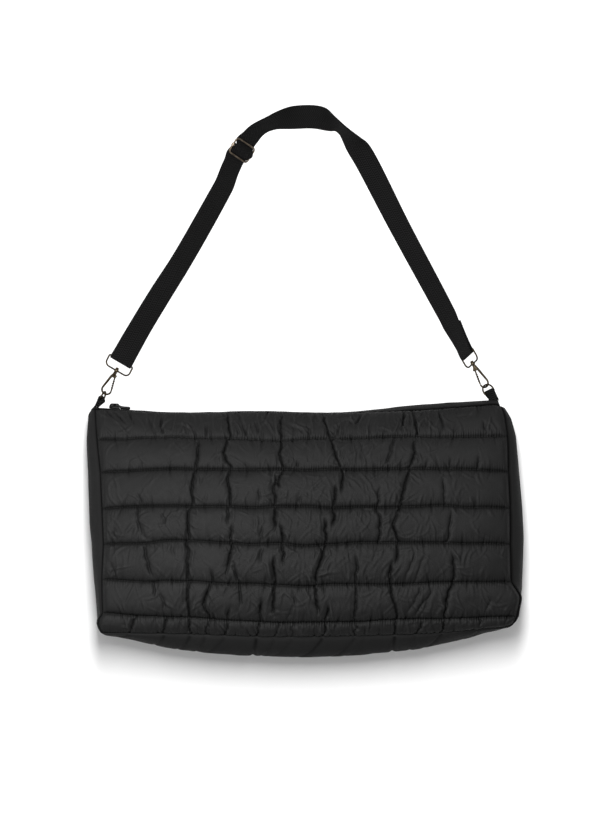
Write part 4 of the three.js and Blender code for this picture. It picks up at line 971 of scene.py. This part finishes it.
# Clasps: antique brass. A wire loop with a swivel collar holds each end of the strap. A snap hook with a
# ridged, sprung gate turns in the collar and is clipped to a wire ring on the bag.
CLASPS = {
    "left": dict(bar=(-233, 25, 7.4), bar_roll=14, seat=(-264.8, -38.2, 26), seat_across=(0.25, 0, 1),
                 hook_roll=6, ring_roll=74, side=1),
    "right": dict(bar=(204.5, 33.5, 16.5), bar_roll=58, seat=(238, -23.9, 26), seat_across=(1, 0.12, 0.25),
                  hook_roll=-32, ring_roll=30, side=-1),
}
LOOP_WIRE, HOOK_WIRE, GATE_WIRE, RING_WIRE = 1.0, 1.15, 1.0, 1.1
LOOP_HALF, LOOP_DROP = 17.2, 14.2
COLLAR_RADIUS, COLLAR_HALF, COLLAR_BORE, POST_RADIUS = 3.0, 2.2, 1.5, 1.2
HOOK_HALF, HOOK_CENTRE = 6.0, 42.2
NOSE_ANGLE, SPINE_ANGLE = 172, 11.5
SPINE_RADII = [1.7, 1.55, 1.25, 1.25, 1.1]
PIVOT_DROP, PIVOT_SIDE, CHEEK_RADIUS = 22.0, 2.1, 1.8
CHEEK_INNER, CHEEK_OUTER = 1.5, 2.4
RIDGE_PITCH = 2.9
RING_HALF, RING_CORNER = 7.5, 1.5
RING_TOP = HOOK_CENTRE + HOOK_HALF - HOOK_WIRE - GAP - RING_WIRE
RING_BAR = RING_TOP + 11.2


def unit(vector):
    """The same direction, one long."""
    vector = np.asarray(vector, float)
    return vector / np.linalg.norm(vector, axis=-1, keepdims=True)


def turned_about(vector, axis, degrees):
    """A vector turned about an axis."""
    angle = math.radians(degrees)
    return (vector * math.cos(angle) + np.cross(axis, vector) * math.sin(angle)
            + axis * np.dot(axis, vector) * (1 - math.cos(angle)))


def arc(centre, radius, start, end, count=14):
    """Points along an arc, between two angles in degrees."""
    turn = np.radians(np.linspace(start, end, count + 1))
    return np.stack([centre[0] + radius * np.cos(turn), centre[1] + radius * np.sin(turn)], -1)


def flat_wire(line, radius, joined, sides=16):
    """A round wire along a line in the local XY plane; the radius may change along it."""
    line = np.asarray(line, float)
    keep = np.r_[True, np.linalg.norm(np.diff(line, axis=0), axis=1) > 1e-3]
    if joined and np.linalg.norm(line[0] - line[-1]) < 1e-3:
        keep[-1] = False
    line = line[keep]
    radii = np.full(len(line), radius) if np.isscalar(radius) else np.asarray(radius, float)[keep]
    if joined:
        along = np.roll(line, -1, 0) - np.roll(line, 1, 0)
    else:
        along = np.gradient(line, axis=0)
    along = unit(along)
    path = np.column_stack([line, np.zeros(len(line))])
    across = np.column_stack([-along[:, 1], along[:, 0], np.zeros(len(line))])
    rings = tube_rows(path, radii, across, np.tile([0, 0, 1.0], (len(line), 1)), sides)
    faces = grid_faces(len(line), sides, joined, True)
    if not joined:
        faces += [list(range(sides)), list(range((len(line) - 1) * sides, len(line) * sides))[::-1]]
    return rings.reshape(-1, 3), faces


def turned_piece(profile, sides=24):
    """A turned piece about the local Y axis from pairs of radius and place."""
    profile = np.asarray(profile, float)
    turn = 2 * np.pi * np.arange(sides) / sides
    rings = np.stack([
        profile[:, :1] * np.cos(turn), np.tile(profile[:, 1:], (1, sides)), profile[:, :1] * np.sin(turn),
    ], -1)
    return rings.reshape(-1, 3), grid_faces(len(profile), sides, joined_columns=True)


def on_pivot(profile, pivot, sides=24):
    """A turned piece that lies across the hook, on the gate's pivot."""
    points, faces = turned_piece(profile, sides)
    return points[:, [0, 2, 1]] + np.array([*pivot, 0]), [face[::-1] for face in faces]


def brass_material(name, dark, rubbed_through):
    """Antique brass: dark and cloudy, paler where handling has rubbed its edges."""
    made, shader, nodes = new_material(name, Metallic=1.0)
    places = nodes.places()
    edge = nodes.make("ShaderNodeNewGeometry", output=7)
    patina = nodes.noise(places, 120.0, 4.0, 0.6)
    scratches = nodes.noise(places, 1500.0, 2.0)
    rubbed = (edge - 0.5) * 5.0 + patina * 1.1 - 0.3
    colour, bump = rubbed.mix(dark, rubbed_through), nodes.bump(scratches, 0.04 * MM)
    nodes.dress(shader, Base_Color=colour, Roughness=0.36 + patina * 0.24, Normal=bump)
    return made


clasp_brass = brass_material("antique_brass", (0.020, 0.015, 0.009, 1), (0.130, 0.102, 0.066, 1))


def place_piece(name, node, body, parts, origin, axes, brass=clasp_brass):
    """A clasp piece put in its place, with its brass and its ride."""
    points, faces = join_parts(parts)
    fit_out(add_object(name, points @ axes + origin, faces), brass, node, body)


loop_line = np.vstack([
    [(-LOOP_HALF + 2, 0), (LOOP_HALF - 2, 0)],
    arc((LOOP_HALF - 2, -2), 2, 90, 0),
    arc((LOOP_HALF - 6, 6 - LOOP_DROP), 6, 0, -90),
    arc((6 - LOOP_HALF, 6 - LOOP_DROP), 6, -90, -180),
    arc((2 - LOOP_HALF, -2), 2, 180, 90),
])
collar_profile = [
    (COLLAR_BORE, -LOOP_DROP - 2.1), (1.9, -LOOP_DROP - COLLAR_HALF), (2.5, -LOOP_DROP - 1.5),
    (2.95, -LOOP_DROP - 0.6), (COLLAR_RADIUS, -LOOP_DROP), (2.95, -LOOP_DROP + 0.6), (2.5, -LOOP_DROP + 1.5),
    (1.9, -LOOP_DROP + COLLAR_HALF), (COLLAR_BORE, -LOOP_DROP + 2.1), (COLLAR_BORE, -LOOP_DROP - 2.1),
]
head = -LOOP_DROP + COLLAR_HALF + GAP
neck = -LOOP_DROP - COLLAR_HALF - GAP
post_profile = [
    (0.01, neck - 4.4), (1.1, neck - 4.2), (1.75, neck - 3.2), (2.35, neck - 1.4), (2.25, neck - 0.3),
    (2.0, neck), (POST_RADIUS, neck), (POST_RADIUS, head), (2.2, head), (2.3, head + 0.5),
    (1.6, head + 1.4), (0.01, head + 1.6),
]
ring_line = np.vstack([
    [(RING_HALF - RING_CORNER, -RING_BAR), (RING_CORNER - RING_HALF, -RING_BAR)],
    arc((RING_CORNER - RING_HALF, RING_CORNER - RING_BAR), RING_CORNER, -90, -180, 8),
    arc((0, -RING_TOP - RING_HALF), RING_HALF, 180, 0, 28),
    arc((RING_HALF - RING_CORNER, RING_CORNER - RING_BAR), RING_CORNER, 0, -90, 8),
])

# The hook as on the left, its gate on the side of greater x; the right hook is its mirror image
pivot = np.array([PIVOT_SIDE, -PIVOT_DROP])
bow_line = arc((0, -HOOK_CENTRE), HOOK_HALF, 180 - SPINE_ANGLE, 540 - NOSE_ANGLE, 40)
spine_top, spine_bend = np.array([-0.2, -PIVOT_DROP + 3.4]), np.array([-2.5, -PIVOT_DROP - 2])
spine_line = np.vstack([
    spine_top + (spine_bend - spine_top) * np.linspace(0, 1, 5)[:, None],
    spine_bend + (bow_line[:1] - spine_bend) * np.linspace(0, 1, 9)[1:-1, None],
    bow_line,
])
spine_places = [0, 6, 14, 34, len(spine_line) - 1]
spine_radius = np.interp(np.arange(len(spine_line)), spine_places, SPINE_RADII)
cheek_outline = even_outline(np.vstack([
    arc(pivot, CHEEK_RADIUS, -100, 80, 10),
    [(0.8, neck - 0.8), (-1.6, neck - 0.8), (-3.1, -PIVOT_DROP - 1.8)],
]), 40)
rivet_profile = mirrored([(0.01, -2.75), (0.75, -2.7), (1.05, -2.45), (0.7, -2.3)])
nose_turn = math.radians(180 - NOSE_ANGLE)
nose = np.array([HOOK_HALF * math.cos(nose_turn), -HOOK_CENTRE + HOOK_HALF * math.sin(nose_turn)])
gate_reach = np.linalg.norm(nose - pivot)
gate_at = np.linspace(1.3, gate_reach - 0.5, 49)
gate_line = pivot + gate_at[:, None] * ((nose - pivot) / gate_reach)
ridged = (gate_at > 4.5) & (gate_at < gate_at[-1] - 3)
ridge = np.where(ridged, 0.15 + 0.32 * np.sin(2 * np.pi * gate_at / RIDGE_PITCH), 0)
knuckle_profile = [(1.0, -1.2), (1.6, -1.2), (1.8, -0.9), (1.8, 0.9), (1.6, 1.2), (1.0, 1.2), (1.0, -1.2)]
clasp_frames = {}
for name, clasp in CLASPS.items():
    bar, seat = np.array(clasp["bar"], float), np.array(clasp["seat"], float)
    up = unit(bar - seat)
    flat = unit(np.cross(up, [0, 0, 1.0]))
    side = clasp["side"]

    def axes_at(roll):
        x_axis = turned_about(flat, up, roll)
        return np.array([x_axis, up, np.cross(x_axis, up)])

    loop_axes = axes_at(clasp["bar_roll"] * side)
    hook_axes = axes_at(clasp["hook_roll"])
    ring_axes = axes_at(clasp["ring_roll"])
    clasp_frames[name] = dict(bar=bar, seat=seat, up=up, loop=loop_axes, ring=ring_axes)
    loop_parts = [flat_wire(loop_line, LOOP_WIRE + 0.1, True), turned_piece(collar_profile)]
    place_piece(f"{name}_loop", f"{name}_swivel_loop", "bag", loop_parts, bar, loop_axes)
    mirror = np.array([side, 1])
    hook_parts = [flat_wire(spine_line * mirror, spine_radius, False), turned_piece(post_profile)]
    for low, high in ((-CHEEK_OUTER, -CHEEK_INNER), (CHEEK_INNER, CHEEK_OUTER)):
        hook_parts.append(solid_slab(cheek_outline * mirror, low, high, 0.2))
    hook_parts.append(on_pivot(rivet_profile, pivot * mirror, 16))
    place_piece(f"{name}_hook", f"{name}_hook_body", f"{name}_hook", hook_parts, bar, hook_axes)
    gate_wire = flat_wire(gate_line * mirror, GATE_WIRE * 1.05 + ridge, False)
    gate_parts = [gate_wire, on_pivot(knuckle_profile, pivot * mirror)]
    place_piece(f"{name}_gate", f"{name}_hook_gate", f"{name}_gate", gate_parts, bar, hook_axes)
    ring_parts = [flat_wire(ring_line, RING_WIRE, True)]
    place_piece(f"{name}_ring", f"{name}_d_ring", "bag", ring_parts, bar, ring_axes)

# Tabs: short loops of narrow black webbing that hold the rings. Each is folded round the straight side of
# its ring, and both its ends are sewn into a top corner of the bag.
TAB_WIDTH, TAB_THICK = 12.4, 2.6
SEAT_LAYER = TAB_THICK / 2 + 0.05
TAB_FOOT = {"left": -3.2, "right": 0.0}
TAB_LEAN = {"left": 0.0, "right": 6.0}
FOLD_TURNS = 14
CHEVRON_WIDTH, RIB_PITCH, WARP_PITCH = 3.75, 2.6, 1.3


def webbing_material(name):
    """Woven polypropylene webbing: chevron ribs along its length, fuzzy and matte."""
    made, shader, nodes = new_material(name, Specular_IOR_Level=0.05)
    across, along, _ = nodes.make("ShaderNodeUVMap", {"uv_map": "weave"}).split()
    zigzag = nodes.math("PINGPONG", across * (1 / CHEVRON_WIDTH), 1.0)
    rib = ((along * (1 / RIB_PITCH) + zigzag * 1.1) * (2 * math.pi)).sine()
    warp = (across * (2 * math.pi / WARP_PITCH)).sine()
    places = nodes.places()
    fuzz, cloudy = nodes.noise(places, 700.0, 3.0, 0.65), nodes.noise(places, 30.0, 3.0)
    shade = 0.3 + rib * 0.55 + fuzz * 0.35 + cloudy * 0.25 - 0.2
    colour = shade.mix(grey(0.0006), grey(0.0105))
    bump = nodes.bump(rib * 0.8 + warp * 0.25 + fuzz * 0.7, 0.28 * MM)
    nodes.dress(shader, Base_Color=colour, Roughness=0.72 + fuzz * 0.16, Normal=bump)
    return made


def webbing_object(name, at, across, face, width, thick):
    """Flat webbing with soft edges through places with their across and face directions."""
    half, deep = width / 2, thick / 2
    turn = np.linspace(0, np.pi, 7)
    right = np.stack([half - deep + deep * np.sin(turn), deep * np.cos(turn)], -1)
    top = np.stack([np.linspace(-half + deep, half - deep, 12)[1:-1], np.full(10, deep)], -1)
    ring = np.vstack([top, right, -top, -right])
    rings = at[:, None] + across[:, None] * ring[None, :, :1] + face[:, None] * ring[None, :, 1:]
    count, sides = rings.shape[:2]
    faces = grid_faces(count, sides, joined_columns=True)
    faces += [list(range(sides)), list(range((count - 1) * sides, count * sides))[::-1]]
    made = add_object(name, rings, faces)
    run = run_along(at)
    weave = made.data.uv_layers.new(name="weave")
    corners = np.zeros(len(made.data.loops), int)
    made.data.loops.foreach_get("vertex_index", corners)
    uv = np.stack([ring[corners % sides, 0], run[corners // sides]], -1)
    weave.data.foreach_set("uv", uv.ravel())
    return made, float(run[-1])


def fold_round(centre, towards, face, across, radius):
    """A half turn round a bar, from its face side to its far side."""
    turn = np.pi * np.arange(FOLD_TURNS + 1) / FOLD_TURNS
    out = face * np.cos(turn)[:, None] + towards * np.sin(turn)[:, None]
    return centre + out * radius, np.tile(across, (len(turn), 1)), out


tab_webbing = webbing_material("tab_webbing")
for name, clasp in clasp_frames.items():
    bar = clasp["bar"] - clasp["up"] * RING_BAR
    ring_x, ring_z = clasp["ring"][0], clasp["ring"][2]
    radius = RING_WIRE + GAP + TAB_THICK / 2
    seat_across = unit(CLASPS[name]["seat_across"])
    seat_across = seat_across * np.sign(np.dot(seat_across, ring_x))
    foot = clasp["seat"] + np.array([TAB_FOOT[name], 0, 0])
    shares = np.linspace(-0.5, 0.7, 12)
    opened = np.clip(shares, 0, 1)
    sewn_in = np.minimum(shares, 0)[:, None] * np.array([TAB_LEAN[name], 12.0, 0])
    legs = []
    for sign in (1, -1):
        wide = unit(seat_across + (ring_x - seat_across) * opened[:, None])
        face = unit(np.cross(wide, clasp["up"]))
        offset = SEAT_LAYER + (radius - SEAT_LAYER) * opened**3
        middle = foot + (bar - foot) * opened[:, None] + sewn_in
        legs.append((middle + face * (sign * offset)[:, None], wide, face * sign))
    turn = fold_round(bar, clasp["up"], ring_z, ring_x, radius)
    path = [np.vstack([a, b, c[::-1]]) for a, b, c in zip(legs[0], turn, legs[1])]
    tab, tab_length = webbing_object(f"{name}_tab_webbing", *path, TAB_WIDTH, TAB_THICK)
    fit_out(tab, tab_webbing, f"{name}_tab")

# Strap: one length of 30 mm black webbing laid on the surface. It is sewn round the buckle's bar, runs
# down under itself to the left loop, turns back up through the buckle, over the top and down to the right.
WEBBING_WIDTH, WEBBING_THICK = 30.0, 2.0
LAYER_STEP = WEBBING_THICK + 0.5
# Stops along the middle of the strap's run: x, y, roll in degrees, and from its underside to its middle
ROUTE = np.array([
    [-210, 65.5, 24, 3.6], [-183.5, 109, 27, 3.6], [-157, 150.5, 34, 3.6], [-120, 214.5, 36, 3.8],
    [-92, 266, 41, 5.5], [-80.5, 291, 43, 6], [-61, 313.5, 56, 2], [-38.5, 328, 48, 2.4],
    [-7, 333.5, 4, 2], [18, 332.5, 12, 2], [37, 324, 58, 2.4], [47.5, 316, 66, 1.2],
    [58.5, 303.5, 46, 1.2], [70.5, 288, 18, 1.2], [120, 193, 30, 2], [179.5, 82, 40, 3],
])
BUCKLE_ROW = 6
BUCKLE_REACH = 10.4
BUCKLE_WIRE = 1.1
RIGHT_TURN_BACK = 42.0
LOOP_LEAD, BUCKLE_LEAD, END_TURN, NEAR_BAR = 14.0, 12.0, 40.0, 3.0
UNDER_END = BUCKLE_REACH / 4
roll = np.radians(ROUTE[:, 2])
lift = WEBBING_WIDTH / 2 * np.sin(roll) + ROUTE[:, 3] * np.cos(roll) + GAP
left_bar, right_bar = clasp_frames["left"]["bar"], clasp_frames["right"]["bar"]
knots = np.vstack([left_bar, np.column_stack([ROUTE[:, :2], lift]), right_bar])
knot_roll = np.r_[CLASPS["left"]["bar_roll"], ROUTE[:, 2], CLASPS["right"]["bar_roll"]]


def spine_points(at):
    """Points of a centripetal spline through the knots, at places from 0 to 1."""
    place = at * (len(knots) - 1)
    low = np.minimum(place.astype(int), len(knots) - 2)
    s = (place - low)[:, None]
    ends = np.vstack([2 * knots[0] - knots[1], knots, 2 * knots[-1] - knots[-2]])
    p0, p1, p2, p3 = (ends[low + i] for i in range(4))
    pairs = ((p0, p1), (p1, p2), (p2, p3))
    d0, d1, d2 = (np.maximum(np.sum((a - b) ** 2, 1, keepdims=True) ** 0.25, 1e-4) for a, b in pairs)
    t1 = ((p1 - p0) / d0 - (p2 - p0) / (d0 + d1) + (p2 - p1) / d1) * d1
    t2 = ((p2 - p1) / d1 - (p3 - p1) / (d1 + d2) + (p3 - p2) / d2) * d1
    return p1 + s * t1 + s**2 * (3 * (p2 - p1) - 2 * t1 - t2) + s**3 * (2 * (p1 - p2) + t1 + t2)


SAMPLES = 1200
spine_at = np.linspace(0, 1, SAMPLES + 1)
spine = spine_points(spine_at)
spine_length = run_along(spine)
total = spine_length[-1]
spine_along = unit(np.gradient(spine, axis=0))
spine_outer = unit(np.stack([-spine_along[:, 1], spine_along[:, 0], 0 * spine_at], -1))
spine_roll = np.radians(through(knot_roll, spine_at))[:, None]
spine_across = spine_outer * np.cos(spine_roll) + np.cross(spine_along, spine_outer) * np.sin(spine_roll)
buckle_index = round(SAMPLES * BUCKLE_ROW / (len(knots) - 1))
buckle_length, buckle_at, buckle_along = (t[buckle_index] for t in (spine_length, spine, spine_along))
past = (spine_length - buckle_length)[:, None]
straight = 1 - ease(np.abs(past), BUCKLE_REACH + 2, BUCKLE_REACH + 2 + END_TURN)
spine = spine + (buckle_at + buckle_along * past - spine) * straight
spine_along = unit(spine_along + (buckle_along - spine_along) * straight)
spine_across = spine_across + (spine_across[buckle_index] - spine_across) * straight
to_left = np.clip(1 - spine_length / END_TURN, 0, 1)[:, None]
to_right = np.clip(1 - (total - spine_length) / END_TURN, 0, 1)[:, None]
spine_across += (-clasp_frames["left"]["loop"][0] - spine_across) * to_left
spine_across += (clasp_frames["right"]["loop"][0] - spine_across) * to_right
spine_across = unit(spine_across)
spine_face = unit(np.cross(spine_along, spine_across))


def smooth_steps(places, values, at):
    """Values at given places, eased from one to the next."""
    places, values = np.array(places), np.array(values)
    low = np.clip(np.searchsorted(places, at) - 1, 0, len(places) - 2)
    return values[low] + (values[low + 1] - values[low]) * ease(at, places[low], places[low + 1])


def layer(start, end, offsets, turned=False):
    """A layer of webbing between two lengths along the spine, offset towards its face."""
    lengths = np.linspace(start, end, max(3, int(abs(end - start) / 2.5)))
    offset = smooth_steps(*offsets, lengths) if isinstance(offsets, tuple) else np.full(len(lengths), offsets)
    at, across, face = (read_along(lengths, spine_length, t) for t in (spine, spine_across, spine_face))
    face = unit(face)
    return at + face * offset[:, None], unit(across), -face if turned else face


def reverse(run):
    """The same run of webbing from its other end."""
    return tuple(t[::-1] for t in run)


bar_fold = LOOP_WIRE + GAP + WEBBING_THICK / 2
under_bar = -(BUCKLE_WIRE + GAP + WEBBING_THICK / 2)
half_step = LAYER_STEP / 2
before, after = buckle_length - BUCKLE_REACH, buckle_length + BUCKLE_REACH
run_offsets = (
    [NEAR_BAR, LOOP_LEAD, before - BUCKLE_LEAD, before, buckle_length, after, after + BUCKLE_LEAD,
     total - RIGHT_TURN_BACK - LOOP_LEAD, total - RIGHT_TURN_BACK, total - LOOP_LEAD, total - NEAR_BAR],
    [bar_fold, half_step, 0, under_bar, -under_bar + LAYER_STEP, under_bar, 0,
     0, half_step, half_step, bar_fold],
)
under_offsets = (
    [NEAR_BAR, LOOP_LEAD, before - BUCKLE_LEAD, before, buckle_length - UNDER_END],
    [-bar_fold, -half_step, -LAYER_STEP, under_bar - LAYER_STEP, under_bar - 0.4],
)
left_fold, right_fold = (
    fold_round(spine[i], way * spine_along[i], spine_face[i], spine_across[i], bar_fold)
    for i, way in ((0, -1), (-1, 1))
)
buckle_across, buckle_face = spine_across[buckle_index], spine_face[buckle_index]
buckle_fold = fold_round(buckle_at, buckle_along, buckle_face, buckle_across, -under_bar)
tail = layer(buckle_length - 3.2, buckle_length - 3.0, 0.9)
strap_runs = [
    tuple(t[:1] for t in tail),
    buckle_fold,
    reverse(layer(NEAR_BAR, buckle_length - UNDER_END, under_offsets, True)),
    reverse(left_fold),
    layer(NEAR_BAR, total - NEAR_BAR, run_offsets),
    right_fold,
    reverse(layer(total - RIGHT_TURN_BACK, total - NEAR_BAR, -half_step, True)),
]
strap_path = [np.vstack([run[i] for run in strap_runs]) for i in range(3)]
SPREAD, SPREAD_REACH = 0.12, 16.0  # how much wider the strap is pressed in the buckle, and how far
near_buckle = np.linalg.norm(strap_path[0] - buckle_at, axis=1)
strap_path[1] = strap_path[1] * (1 + SPREAD * np.exp(-((near_buckle / SPREAD_REACH) ** 4)))[:, None]
strap, strap_length = webbing_object("strap_webbing", *strap_path, WEBBING_WIDTH, WEBBING_THICK)
fit_out(strap, webbing_material("strap_webbing"), "strap")

# Slide buckle: an antique brass wire frame, and a centre bar whose sleeves slide on the frame's sides. The
# strap's end is sewn round the bar.
BUCKLE_HALF, BUCKLE_CORNER, BAR_HALF = 18.1, 4.0, 16.4
in_x, in_y = BUCKLE_HALF - BUCKLE_CORNER, BUCKLE_REACH - BUCKLE_CORNER
frame_line = np.vstack([
    arc((in_x, in_y), BUCKLE_CORNER, 0, 90), arc((-in_x, in_y), BUCKLE_CORNER, 90, 180),
    arc((-in_x, -in_y), BUCKLE_CORNER, 180, 270), arc((in_x, -in_y), BUCKLE_CORNER, 270, 360),
])
buckle_basis = np.array([-buckle_across, buckle_along, buckle_face])
# The buckle's brass is the antique brass made much paler all over, a painted highlight where its bars catch
# the light; its rubbed edges are paler still
highlit_buckle_brass = brass_material("highlit_buckle_brass", (0.10, 0.078, 0.055, 1), (0.46, 0.38, 0.30, 1))
frame_wire = [flat_wire(frame_line, BUCKLE_WIRE, True)]
place_piece("buckle_wire", "buckle_frame", "bag", frame_wire, buckle_at, buckle_basis, highlit_buckle_brass)
bar_line = np.column_stack([np.linspace(-BAR_HALF, BAR_HALF, 9), np.zeros(9)])
bar_parts = [flat_wire(bar_line, BUCKLE_WIRE, False)]
sleeve_points, sleeve_faces = turned_piece([
    (1.4, -2), (1.75, -2), (2, -1.7), (2, 1.7), (1.75, 2), (1.4, 2), (1.4, -2),
])
for place in (-BUCKLE_HALF, BUCKLE_HALF):
    bar_parts.append((sleeve_points + np.array([place, 0, 0]), sleeve_faces))
place_piece("buckle_centre_bar", "buckle_bar", "bag", bar_parts, buckle_at, buckle_basis, highlit_buckle_brass)

# Floor and studio light: a pale floor, a broad light from the strap's side with a fill for the floor alone,
# a soft light over the bag from the upper left, and an even white surround.
bag_pieces = bpy.data.collections.new("bag_pieces")
bag_walls = bpy.data.collections.new("bag_walls")
for made in bpy.context.scene.objects:
    if made.type == "MESH":
        bag_pieces.objects.link(made)
for made in (front_panel, back_panel, gusset):
    bag_walls.objects.link(made)
bpy.ops.mesh.primitive_plane_add(size=14, location=(0, 0, -0.0004))
floor = bpy.context.object
floor.name = "floor"
floor_look, floor_shader, floor_nodes = new_material("floor", Roughness=0.9, Specular_IOR_Level=0.1)
floor_tone = floor_nodes.noise(floor_nodes.places(), 3.0)
floor_nodes.dress(floor_shader, Base_Color=floor_tone.mix(grey(0.90), grey(0.92)))
floor.data.materials.append(floor_look)
floor_alone = bpy.data.collections.new("floor_alone")
floor_alone.objects.link(floor)


def area_light(name, place, aim, width, height, power, lights_up, shaded_by):
    """A soft light that isn't seen itself, for some pieces alone."""
    data = bpy.data.lights.new(name, "AREA")
    data.shape = "RECTANGLE"
    data.size = width
    data.size_y = height
    data.energy = power
    made = bpy.data.objects.new(name, data)
    made.location = place
    away = mathutils.Vector(place) - mathutils.Vector(aim)
    made.rotation_euler = away.to_track_quat("Z", "Y").to_euler()
    made.visible_camera = False
    made.light_linking.receiver_collection = lights_up
    made.light_linking.blocker_collection = shaded_by
    bpy.context.scene.collection.objects.link(made)


area_light("far_light", (0, 0.9, 2.6), (0, -0.3, 0), 0.7, 1.8, 92, None, bag_walls)
area_light("floor_fill", (0, 0.9, 2.6), (0, -0.3, 0), 0.6, 1.8, 12, floor_alone, floor_alone)
area_light("near_light", (-0.4, -0.16, 0.8), (-0.02, -0.18, 0.08), 0.35, 0.35, 6.6, bag_pieces, bag_pieces)
world = bpy.data.worlds.new("surround")
world.use_nodes = True
world.node_tree.nodes["Background"].inputs["Color"].default_value = (1, 1, 1, 1)
world.node_tree.nodes["Background"].inputs["Strength"].default_value = 0.36
bpy.context.scene.world = world
bpy.context.scene.view_settings.view_transform = "Standard"

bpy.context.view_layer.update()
